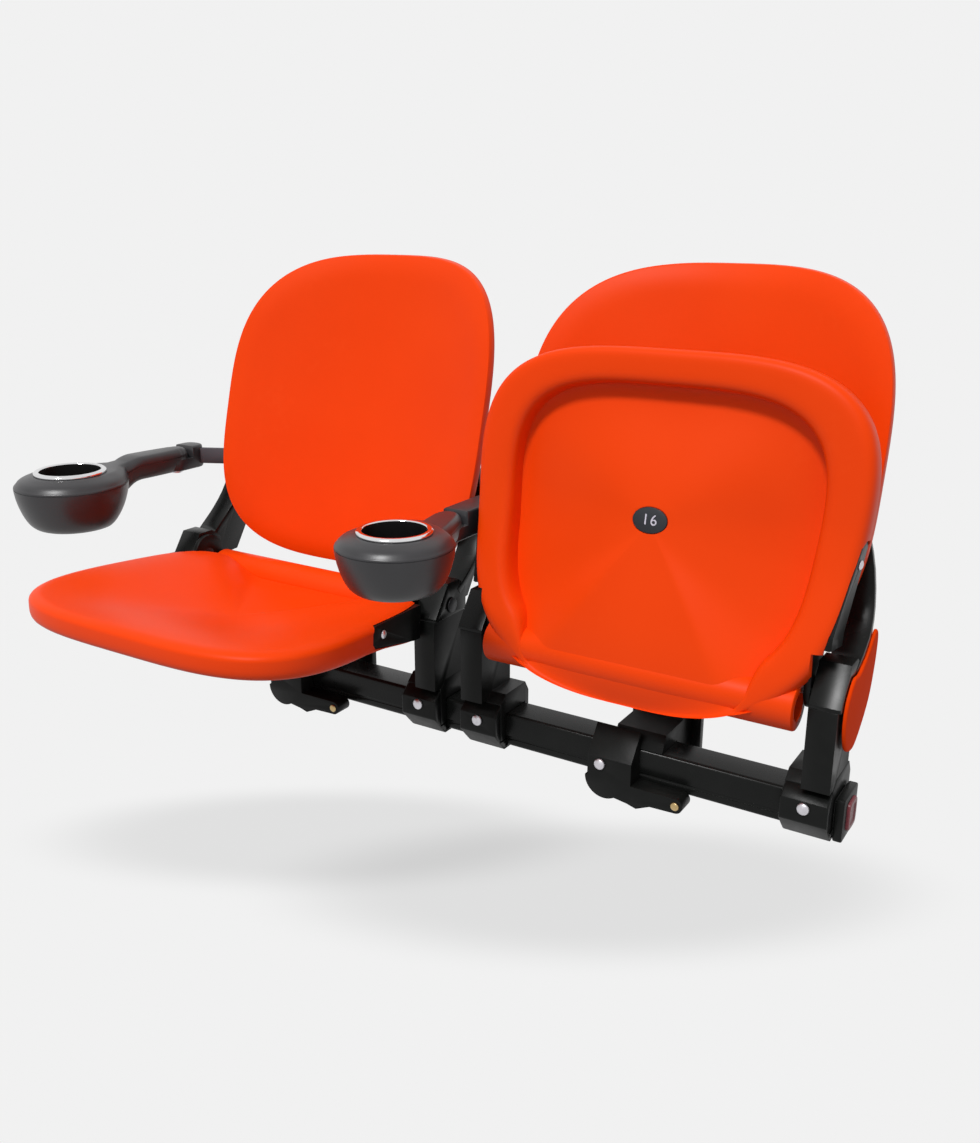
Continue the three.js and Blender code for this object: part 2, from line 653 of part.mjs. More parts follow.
function backShell(count = 44) {
  const faceShares = [0.25, 0.5, 0.7, 0.86, 0.95, 1];
  const rearShares = [0.86, 0.7, 0.5, 0.25];
  const inner = 1 - (2 * back.flangeWall) / back.width;
  const rings = faceShares.map((share) => backRing(share, backFace, count));
  rings.push(backRing(1, (share) => backFace(share) + back.flange, count));
  rings.push(backRing(inner, (share) => backFace(share) + back.flange, count));
  rings.push(backRing(inner, (share) => backFace(share) + back.wall, count));
  rings.push(...rearShares.map((share) => backRing(share, (at) => backFace(at) + back.wall, count)));
  return loft(rings.map((ring) => ring.reverse()));
}

// A pad on the rear of the back meets each strap.
function backPad() {
  const pathEnd = strapPath[strapPath.length - 1];
  const pathNear = strapPath[strapPath.length - 2];
  const centre = new THREE.Vector3(...pathNear).add(new THREE.Vector3(...pathEnd)).divideScalar(2);
  const along = new THREE.Vector3(...pathEnd).sub(new THREE.Vector3(...pathNear));
  const tiltBack = Math.atan2(along.y, along.z);
  const reach = strap.thickness * 3;
  const pad = block(
    -strap.width / 2, strap.width / 2, -reach, 0,
    -along.length() / 2, along.length() / 2,
  );
  return pad.rotateX(-tiltBack).translate(centre.x - strap.width / 8, centre.y, centre.z);
}

function backWithPads() {
  const pads = backPad();
  const shell = solidOf(backShell()).add(solidOf(pads)).add(solidOf(mirrored(pads)));
  const front = solidOf(loft([
    ...[0.25, 0.5, 0.7, 0.86, 0.95, 1].map((share) => backRing(share, (at) => backFace(at) + back.wall / 2, 44)),
    backRing(1, () => -back.height, 44),
  ]));
  const trimmed = solidOf(backShell()).add(shell.subtract(front));
  const [x, y, z] = strapPath[strapPath.length - 2];
  const hole = rodAlongY(backScrew.shank + clearance, y - backScrew.length, y + overrun, x, z, 12);
  const seat = strapRibbon(2 * clearance);
  const tools = [hole, mirrored(hole), seat, mirrored(seat)];
  return geometryOf(tools.reduce((whole, tool) => whole.subtract(solidOf(tool)), trimmed));
}

// End covers over the outermost heads

// The outline of a cover as a smooth closed line, drawn inside itself by a given distance.
function coverShape(inside = 0) {
  const curve = new THREE.CatmullRomCurve3(coverOutline.map(([y, z]) => new THREE.Vector3(0, y, z)), true);
  const points = curve.getPoints(44).slice(0, -1);
  const count = points.length;
  return shapeOf(points.map((point, k) => {
    const along = points[(k + 1) % count].clone().sub(points[(k + count - 1) % count]).normalize();
    return [point.y + along.z * -inside, point.z + along.y * inside];
  }).reverse());
}

function endCover() {
  const behind = cover.rim - cover.bevel - overrun;
  const shell = alongX(coverShape(), cover.rim - cover.bevel, cover.outer, cover.bevel);
  const room = alongX(coverShape(-cover.wall), behind, cover.outer - cover.wall);
  const trim = block(behind, cover.rim, -pan.width, pan.width, -pan.width, pan.width);
  return cut(shell, room, trim, headBlock(2 * clearance), strapRibbon(2 * clearance));
}

// Wall brackets: a plate on the riser, a neck to the beam and a hook clamped from the front

function wallBracket() {
  const plateHeight = bracket.plateTop - bracket.plateBottom;
  const plateMiddle = (bracket.plateTop + bracket.plateBottom) / 2;
  const plateFront = bracket.wallY - bracket.plateThickness;
  const plate = alongY(
    roundedShape(bracket.plateWidth, plateHeight, bracket.plateCorner), plateFront, bracket.wallY,
  ).translate(0, 0, plateMiddle);
  const neckShape = shapeOf([
    [frontOfBeam + 1, beam.height + clearance], [rearOfBeam, beam.height + clearance],
    [rearOfBeam, -hook.underDepth / 2], [plateFront + 1, bracket.plateBottom + bracket.plateCorner],
    [plateFront + 1, bracket.plateTop - bracket.plateCorner],
    [rearOfBeam + bracket.saddleRear, beam.height + bracket.saddleTop],
    [-beam.depth / 4, beam.height + bracket.saddleTop],
  ]);
  const neck = alongX(neckShape, -bracket.stemWidth / 2, bracket.stemWidth / 2);
  const holes = [];
  for (const across of [-1, 1]) {
    for (const up of [-1, 1]) {
      holes.push(rodAlongY(
        bracket.holeRadius, plateFront - overrun, bracket.wallY + overrun,
        (across * bracket.holeAcross) / 2, plateMiddle + (up * bracket.holeUp) / 2, 16,
      ));
    }
  }
  return cut(join(plate, neck), ...holes);
}

function bracketHook() {
  const shape = new THREE.Shape();
  const hookTop = beam.height + hook.slopeTop;
  const secondBottom = hook.secondZ - hook.secondRadius;
  const tongueBottom = hook.tongueZ - hook.tongueRadius;
  shape.moveTo(hook.left, hookTop);
  shape.lineTo(hook.left, hook.lobeZ);
  shape.absarc(hook.lobeX, hook.lobeZ, hook.lobeRadius, Math.PI, Math.PI * 1.68);
  shape.lineTo(hook.secondX - hook.secondRadius * 0.7, secondBottom + hook.secondRadius * 0.2);
  shape.lineTo(hook.secondX, secondBottom);
  shape.lineTo(hook.secondX + hook.secondRadius, tongueBottom - 1);
  shape.absarc(hook.tongueX, hook.tongueZ, hook.tongueRadius, -Math.PI / 2, Math.PI / 2);
  shape.lineTo(hook.right, hook.tongueZ + hook.tongueRadius);
  shape.lineTo(hook.right, hookTop);
  const frontY = frontOfBeam - hook.front;
  const slab = alongY(shape, frontY, frontOfBeam, 0, 8);
  const slope = shapeOf([
    [frontY - overrun, hook.slopeFoot], [frontY, hook.slopeFoot], [frontOfBeam, hookTop],
    [frontOfBeam + overrun, hookTop], [frontOfBeam + overrun, hookTop + hook.front],
    [frontY - overrun, hookTop + hook.front],
  ]);
  const underShape = new THREE.Shape();
  underShape.moveTo(hook.left + 6, -clearance);
  underShape.absarc(hook.lobeX, -clearance, hook.lobeRadius * 0.9, Math.PI, 2 * Math.PI);
  const under = alongY(underShape, frontOfBeam - 1, rearOfBeam - clearance, 0, 8);
  const boltHole = rodAlongY(
    hookBolt.shank + clearance, frontY - overrun, frontOfBeam + overrun, hookBolt.x, hookBolt.z, 12,
  );
  const tongueHole = rodAlongY(
    tongueBolt.shank + clearance, frontY - overrun, frontOfBeam + overrun, hook.tongueX, hook.tongueZ, 12,
  );
  return cut(join(slab, under), alongX(slope, hook.left - overrun, hook.right + overrun), boltHole, tongueHole);
}

// Armrests: a fixed arm on a flat bar, and a cup holder that swings on a pin in the arm's lug

function upright(shape, z0, z1, bevel = 0, curveSegments = 8) {
  const solid = new THREE.ExtrudeGeometry(shape, {
    depth: z1 - z0 - 2 * bevel, steps: 1, curveSegments,
    bevelEnabled: bevel > 0, bevelThickness: bevel, bevelSize: bevel, bevelOffset: -bevel, bevelSegments: 3,
  });
  return solid.translate(0, 0, z0 + bevel);
}

function rodUpright(radius, z0, z1, sides = 24) {
  const rod = new THREE.CylinderGeometry(radius, radius, z1 - z0, sides);
  return rod.rotateX(Math.PI / 2).translate(0, 0, (z0 + z1) / 2);
}

const lug = armrest.endRadius;
const pinTop = -swingPin.under;
const pinHole = rodUpright(swingPin.radius + clearance, -armrest.height - overrun, pinTop + clearance, 16);

// Half the width of the body, at a distance from the cup's middle towards the pin.
function armrestHalf(from, radius) {
  const round = Math.sqrt(Math.max(0, radius ** 2 - from ** 2));
  if (from <= 0) return round;
  const past = from - armrest.reach;
  if (past > 0) return Math.sqrt(Math.max(0, armrest.endRadius ** 2 - past ** 2));
  const spread = (from - armrest.middleAt) / (armrest.reach - armrest.middleAt);
  const bar = armrest.middleHalf - (armrest.middleHalf - armrest.endRadius) * spread ** 2;
  const gap = Math.max(0, armrest.neck - Math.abs(round - bar));
  return Math.max(round, bar) + (gap * gap * clamped(from / armrest.neck)) / (4 * armrest.neck);
}

// The body as stacked outlines, each with two mirrored sides; the flat ends are closed by strips.
function armrestBody(rest) {
  const stations = 27;
  const radius = armrest.cupRadius * rest.cupSize;
  const front = -radius;
  const rear = armrest.reach + armrest.endRadius;
  const middle = (front + rear) / 2;
  const half = (rear - front) / 2;
  const liftAt = radius * armrest.liftShare;
  const outline = [];
  for (let k = 0; k <= stations; k += 1) {
    const from = middle - half * Math.cos((Math.PI * k) / stations);
    outline.push(new THREE.Vector2(armrestHalf(from, radius), from));
  }
  for (let k = stations - 1; k > 0; k -= 1) outline.push(new THREE.Vector2(-outline[k].x, outline[k].y));
  const count = outline.length;
  const inward = outline.map((_, k) => {
    const along = outline[(k + 1) % count].clone().sub(outline[(k + count - 1) % count]).normalize();
    return new THREE.Vector2(-along.y, along.x);
  });
  const rings = [...armrestLevels].reverse().map((level) => outline.map((point, k) => {
    const toArm = smooth(clamped((point.y - armrest.neck) / armrest.cupRadius));
    const lifted = rest.rise * (1 - smooth(clamped((point.y - liftAt) / (armrest.middleAt - liftAt))));
    const inside = level.cupIn * rest.cupSize * (1 - toArm) + level.armIn * toArm;
    const down = level.cupDown * rest.cupSize * (1 - toArm) + level.armDown * toArm;
    const place = point.clone().addScaledVector(inward[k], inside);
    return new THREE.Vector3(place.x, place.y - armrest.reach, lifted - down);
  }));
  const geometry = loft(rings, false, false);
  const index = Array.from(geometry.index.array);
  const top = (rings.length - 1) * count;
  for (let k = 0; k < stations; k += 1) {
    const [right, nextRight, nextLeft, left] = [k, k + 1, count - k - 1, (count - k) % count];
    const faces = [];
    if (nextLeft !== nextRight) faces.push([right, nextRight, nextLeft]);
    if (left !== right) faces.push([right, nextLeft, left]);
    for (const [a, b, c] of faces) index.push(a, c, b, top + a, top + b, top + c);
  }
  geometry.setIndex(index);
  return geometry;
}

// Drawn with its pin at the origin and its cup straight ahead of it.
function cupHolder(rest) {
  const room = rodUpright(
    armrest.recessRadius * rest.cupSize, rest.rise - armrest.recessDepth * rest.cupSize,
    rest.rise + overrun, 36,
  );
  const lap = rodUpright(lug + armrest.lapFree, -armrest.height - overrun, clearance - armrest.lap);
  return cut(armrestBody(rest), room.translate(0, -armrest.reach, 0), lap, pinHole);
}

function fixedArm(rest) {
  const length = rest.rearY - rest.pinY;
  const shape = new THREE.Shape();
  shape.moveTo(-lug, 0);
  shape.absarc(0, 0, lug, Math.PI, 2 * Math.PI);
  shape.lineTo(lug, length - lug);
  shape.quadraticCurveTo(lug, length, 0, length);
  shape.quadraticCurveTo(-lug, length, -lug, length - lug);
  const step = block(
    -lug - overrun, lug + overrun, -lug - overrun, lug + armrest.stepFree, -armrest.lap, overrun,
  );
  return cut(upright(shape, -armrest.height, 0, armrest.edge), step, pinHole)
    .translate(rest.x, rest.pinY, rest.top);
}

function armPin() {
  const headTop = -armrest.height - clearance;
  const head = rodUpright(swingPin.head, headTop - swingPin.headThickness, headTop, 16);
  return join(head, rodUpright(swingPin.radius, headTop - 1, pinTop, 16));
}

function cupLiner(rest) {
  const profile = [
    [0, -liner.depth - liner.floor], [liner.boreRadius - 6, -liner.depth - liner.floor],
    [liner.boreRadius + liner.wall - 2, 2 - liner.depth], [liner.boreRadius + liner.wall, 0],
    [liner.ringRadius, 0], [liner.ringRadius, liner.ringHeight * 0.6],
    [liner.ringRadius - 2, liner.ringHeight], [liner.boreRadius + 1, liner.ringHeight],
    [liner.boreRadius, liner.ringHeight - 1], [liner.boreRadius - 2, 3 - liner.depth],
    [liner.boreRadius - 7, -liner.depth], [0, -liner.depth],
  ];
  const lathe = new THREE.LatheGeometry(profile.map(([r, h]) => new THREE.Vector2(r, h)), 36);
  return lathe.scale(rest.cupSize, rest.cupSize, rest.cupSize).rotateX(Math.PI / 2)
    .translate(0, -armrest.reach, rest.rise + clearance);
}

// A flat bar lies against the rear of a back arm's strap and bends forward into the fixed arm.
function barShape(rest, spread = 0) {
  const half = bar.thickness / 2 + spread;
  const tall = bar.height / 2 + spread;
  const barZ = rest.top - bar.down;
  const strapX = rest.seatX - bar.strapAcross;
  const path = [
    new THREE.Vector2(rest.x, rest.rearY - bar.inset),
    new THREE.Vector2(strapX - strap.width / 2 - bar.thickness, bar.y),
    new THREE.Vector2(strapX + bar.reach, bar.y),
  ];
  const solids = [];
  for (let k = 0; k + 1 < path.length; k += 1) {
    const along = path[k + 1].clone().sub(path[k]);
    const box = block(-spread, along.length() + spread, -half, half, -tall, tall);
    solids.push(box.rotateZ(Math.atan2(along.y, along.x)).translate(path[k].x, path[k].y, barZ));
  }
  const bend = rodUpright(half, barZ - tall, barZ + tall, 16);
  solids.push(bend.translate(path[1].x, path[1].y, 0));
  return join(...solids);
}

// Assembly

for (const seat of seats) {
  for (const hand of hands) {
    const label = `${seat.name}_${hand.name}`;
    const atSeat = (geometry) => besideSeat(geometry, seat, hand);
    piece(`standard_${label}`, atSeat(standardCasting()), 'casting');
    piece(`clamp_jaw_${label}`, atSeat(clampJaw()), 'casting');
    const clampScrew = facingFront(domedScrew(clampBolt), standard.offset, jawFrontY - clearance, clampBolt.z);
    piece(`clamp_bolt_${label}`, atSeat(clampScrew), 'zinc');
    piece(`back_arm_${label}`, atSeat(backArm()), 'steel');
    piece(`pivot_pin_${label}`, atSeat(pivotPin()), 'zinc');
  }

  const back = backWithPads().translate(seat.x, 0, 0);
  piece(`seat_back_${seat.name}`, back, 'orange');

  const tipping = new THREE.Group();
  tipping.position.set(seat.x, hinge.y, hinge.z);
  tipping.rotation.x = -seat.angle * turn;
  unit.add(tipping);
  piece(`seat_pan_${seat.name}`, panWithPockets(), 'orange', tipping);
  piece(`number_disc_${seat.name}`, numberDisc(), 'disc', tipping);
  const weight = rodAlongX(balance.radius, -balance.halfLength, balance.halfLength, -barrel.ahead, barrel.below, 20);
  piece(`balance_weight_${seat.name}`, weight, 'zinc', tipping);
  for (const hand of hands) {
    const label = `${seat.name}_${hand.name}`;
    const handed = (geometry) => (hand.sign > 0 ? geometry : mirrored(geometry));
    piece(`hinge_arm_${label}`, handed(hingeArm()), 'casting', tipping);
    const screw = domedScrew(armBolt).rotateZ(-Math.PI / 2)
      .translate(arm.outer + arm.plateThickness + clearance, -armBolt.ahead, armBolt.below);
    piece(`arm_bolt_${label}`, handed(splayed(screw)), 'zinc', tipping);
  }

  piece(`wall_bracket_${seat.name}`, wallBracket().translate(seat.x, 0, 0), 'casting');
  piece(`bracket_hook_${seat.name}`, bracketHook().translate(seat.x, 0, 0), 'casting');
  const hookFrontY = frontOfBeam - hook.front - clearance;
  const hookScrew = facingFront(domedScrew(hookBolt), seat.x + hookBolt.x, hookFrontY, hookBolt.z);
  piece(`hook_bolt_${seat.name}`, hookScrew, 'zinc');
  const tongueScrew = facingFront(domedScrew(tongueBolt), seat.x + hook.tongueX, hookFrontY, hook.tongueZ);
  piece(`tongue_bolt_${seat.name}`, tongueScrew, 'brass');
}

piece('end_cover_left', mirrored(endCover()).translate(seats[0].x, 0, 0), 'orange');
piece('end_cover_right', endCover().translate(seats[1].x, 0, 0), 'orange');

for (const rest of armrests) {
  piece(`armrest_arm_${rest.name}`, cut(fixedArm(rest), barShape(rest, clearance)), 'armrest');
  piece(`armrest_bar_${rest.name}`, barShape(rest), 'bar');
  piece(`swing_pin_${rest.name}`, armPin().translate(rest.x, rest.pinY, rest.top), 'zinc');

  const swinging = new THREE.Group();
  swinging.position.set(rest.x, rest.pinY, rest.top);
  swinging.rotation.z = rest.angle * turn;
  unit.add(swinging);
  piece(`cup_holder_${rest.name}`, cupHolder(rest), 'armrest', swinging);
  piece(`cup_liner_${rest.name}`, cupLiner(rest), 'chrome', swinging);
}

const seatUnit = new THREE.Group();
seatUnit.add(unit);

export default seatUnit;
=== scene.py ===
# Two tip-up stadium seats on a beam, dressed for a studio picture.
import math

import bmesh
import bpy
from mathutils import Matrix, Vector


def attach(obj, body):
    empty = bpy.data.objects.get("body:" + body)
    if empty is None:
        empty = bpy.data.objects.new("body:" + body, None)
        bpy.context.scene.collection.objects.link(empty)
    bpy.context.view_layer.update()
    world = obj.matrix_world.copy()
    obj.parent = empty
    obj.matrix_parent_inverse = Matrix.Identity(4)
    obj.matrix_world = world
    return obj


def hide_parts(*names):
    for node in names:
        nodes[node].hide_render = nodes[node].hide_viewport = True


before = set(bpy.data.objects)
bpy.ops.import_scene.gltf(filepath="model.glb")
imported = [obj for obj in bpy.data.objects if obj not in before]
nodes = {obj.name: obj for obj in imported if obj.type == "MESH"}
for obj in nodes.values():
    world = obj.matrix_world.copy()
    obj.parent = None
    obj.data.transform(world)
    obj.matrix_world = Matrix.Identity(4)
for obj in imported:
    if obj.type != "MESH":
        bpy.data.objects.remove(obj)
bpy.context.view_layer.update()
print("frame loaded:", len(nodes), "nodes")

mm = 0.001
unitShift = Vector((0, -70, -27))  # from the beam's own frame to the row's frame, mm
hinge = {"y": -12, "z": 168}
seatX = {"left": -250, "right": 250}
panAngle = {"left": 4.1, "right": 100.1}  # degrees above level at rest


def beamPoint(x, y, z):
    return (Vector((x, y, z)) + unitShift) * mm


def clamped(t):
    return min(1, max(0, t))


def eased(t):
    t = clamped(t)
    return t * t * (3 - 2 * t)


def signedPower(value, power):
    return math.copysign(abs(value) ** power, value)


def newGroup(name, inputs, outputs):
    group = bpy.data.node_groups.new(name, "ShaderNodeTree")
    for socketName, kind, value in inputs:
        socket = group.interface.new_socket(socketName, in_out="INPUT", socket_type=kind)
        socket.default_value = value
    for socketName, kind in outputs:
        group.interface.new_socket(socketName, in_out="OUTPUT", socket_type=kind)
    return group, group.nodes.new("NodeGroupInput"), group.nodes.new("NodeGroupOutput")


def mathNode(n, operation):
    node = n.new("ShaderNodeMath")
    node.operation = operation
    return node


def colourMix(n):
    node = n.new("ShaderNodeMix")
    node.data_type = "RGBA"
    return node


def rangeNode(n, start=0, end=1, low=0, high=1):
    # maps start..end on to low..high
    node = n.new("ShaderNodeMapRange")
    for socket, value in (("From Min", start), ("From Max", end), ("To Min", low), ("To Max", high)):
        node.inputs[socket].default_value = value
    return node


def noiseNode(n, detail=None, scale=None):
    node = n.new("ShaderNodeTexNoise")
    if detail is not None:
        node.inputs["Detail"].default_value = detail
    if scale is not None:
        node.inputs["Scale"].default_value = scale
    return node


def buildMouldGrain():
    # fine pebble grain and slow waviness of a moulded or coated face, as a height
    group, given, result = newGroup(
        "mouldGrain",
        [
            ("Grain Scale", "NodeSocketFloat", 900),
            ("Wave Scale", "NodeSocketFloat", 14),
            ("Wave Share", "NodeSocketFloat", 0.5),
        ],
        [("Height", "NodeSocketFloat"), ("Mottle", "NodeSocketFloat")],
    )
    n, link = group.nodes, group.links.new
    place = n.new("ShaderNodeTexCoord")
    grain = noiseNode(n, detail=3)
    wave = noiseNode(n, detail=2)
    blend = n.new("ShaderNodeMix")
    link(place.outputs["Object"], grain.inputs["Vector"])
    link(place.outputs["Object"], wave.inputs["Vector"])
    link(given.outputs["Grain Scale"], grain.inputs["Scale"])
    link(given.outputs["Wave Scale"], wave.inputs["Scale"])
    link(given.outputs["Wave Share"], blend.inputs[0])
    link(grain.outputs["Fac"], blend.inputs[2])
    link(wave.outputs["Fac"], blend.inputs[3])
    link(blend.outputs[0], result.inputs["Height"])
    link(wave.outputs["Fac"], result.inputs["Mottle"])
    return group


def buildScuffs():
    # thin scratches and rubbed patches, as a mask from 0 to 1
    group, given, result = newGroup(
        "scuffs",
        [("Scale", "NodeSocketFloat", 60), ("Amount", "NodeSocketFloat", 0.3)],
        [("Mask", "NodeSocketFloat")],
    )
    n, link = group.nodes, group.links.new
    place = n.new("ShaderNodeTexCoord")
    stretch = n.new("ShaderNodeMapping")
    stretch.inputs["Scale"].default_value = (1, 0.16, 1)
    stretch.inputs["Rotation"].default_value = (0.3, 0.2, 0.7)
    streak = noiseNode(n, detail=6)
    patch = noiseNode(n, scale=9)
    both = mathNode(n, "MULTIPLY")
    narrow = rangeNode(n, start=0.34, end=0.46)
    amount = mathNode(n, "MULTIPLY")
    link(place.outputs["Object"], stretch.inputs["Vector"])
    link(stretch.outputs["Vector"], streak.inputs["Vector"])
    link(given.outputs["Scale"], streak.inputs["Scale"])
    link(place.outputs["Object"], patch.inputs["Vector"])
    link(streak.outputs["Fac"], both.inputs[0])
    link(patch.outputs["Fac"], both.inputs[1])
    link(both.outputs[0], narrow.inputs["Value"])
    link(narrow.outputs[0], amount.inputs[0])
    link(given.outputs["Amount"], amount.inputs[1])
    link(amount.outputs[0], result.inputs["Mask"])
    return group


def buildDust():
    # a little dust on faces that look up, broken by noise, as a mask
    group, given, result = newGroup(
        "dust",
        [("Amount", "NodeSocketFloat", 0.2), ("Scale", "NodeSocketFloat", 25)],
        [("Mask", "NodeSocketFloat")],
    )
    n, link = group.nodes, group.links.new
    face = n.new("ShaderNodeNewGeometry")
    split = n.new("ShaderNodeSeparateXYZ")
    upward = rangeNode(n, start=0.3, end=1.0)
    place = n.new("ShaderNodeTexCoord")
    noise = noiseNode(n, detail=5)
    spread = rangeNode(n, start=0.35, end=0.7)
    both = mathNode(n, "MULTIPLY")
    amount = mathNode(n, "MULTIPLY")
    link(face.outputs["Normal"], split.inputs[0])
    link(split.outputs["Z"], upward.inputs["Value"])
    link(place.outputs["Object"], noise.inputs["Vector"])
    link(given.outputs["Scale"], noise.inputs["Scale"])
    link(noise.outputs["Fac"], spread.inputs["Value"])
    link(upward.outputs[0], both.inputs[0])
    link(spread.outputs[0], both.inputs[1])
    link(both.outputs[0], amount.inputs[0])
    link(given.outputs["Amount"], amount.inputs[1])
    link(amount.outputs[0], result.inputs["Mask"])
    return group


mouldGrain = buildMouldGrain()
scuffs = buildScuffs()
dust = buildDust()


def finish(name, look):
    # one material: a shader with mottled colour, scuffed roughness and a grain bump
    material = bpy.data.materials.new(name)
    material.use_nodes = True
    n, link = material.node_tree.nodes, material.node_tree.links.new
    shader = n["Principled BSDF"]
    shader.inputs["Metallic"].default_value = look.get("metal", 0)
    shader.inputs["Specular IOR Level"].default_value = look.get("specular", 0.5)

    grain = n.new("ShaderNodeGroup")
    grain.node_tree = mouldGrain
    grain.inputs["Grain Scale"].default_value = look["grainScale"]
    grain.inputs["Wave Scale"].default_value = look.get("waveScale", 14)
    grain.inputs["Wave Share"].default_value = look.get("waveShare", 0.3)
    marks = n.new("ShaderNodeGroup")
    marks.node_tree = scuffs
    marks.inputs["Scale"].default_value = look.get("scuffScale", 60)
    marks.inputs["Amount"].default_value = look.get("scuff", 0.2)
    settled = n.new("ShaderNodeGroup")
    settled.node_tree = dust
    settled.inputs["Amount"].default_value = look.get("dust", 0.1)

    tone = colourMix(n)
    tone.inputs[6].default_value = (*look["dark"], 1)
    tone.inputs[7].default_value = (*look["light"], 1)
    link(grain.outputs["Mottle"], tone.inputs[0])
    worn = colourMix(n)
    worn.inputs[7].default_value = (*look.get("wornColour", look["light"]), 1)
    link(marks.outputs["Mask"], worn.inputs[0])
    link(tone.outputs[2], worn.inputs[6])
    dusty = colourMix(n)
    dusty.inputs[7].default_value = (*look.get("dustColour", (0.35, 0.33, 0.3)), 1)
    link(settled.outputs["Mask"], dusty.inputs[0])
    link(worn.outputs[2], dusty.inputs[6])
    link(dusty.outputs[2], shader.inputs["Base Color"])

    rough = rangeNode(n, low=look["rough"], high=look["rough"] + look.get("roughSpread", 0.15))
    link(grain.outputs["Mottle"], rough.inputs["Value"])
    rubbed = mathNode(n, "MULTIPLY_ADD")
    rubbed.inputs[1].default_value = 0.2
    link(marks.outputs["Mask"], rubbed.inputs[0])
    link(rough.outputs[0], rubbed.inputs[2])
    link(rubbed.outputs[0], shader.inputs["Roughness"])

    bump = n.new("ShaderNodeBump")
    bump.inputs["Strength"].default_value = look["bump"]
    bump.inputs["Distance"].default_value = look.get("depth", 0.0004)
    link(grain.outputs["Height"], bump.inputs["Height"])
    link(bump.outputs["Normal"], shader.inputs["Normal"])
    return material


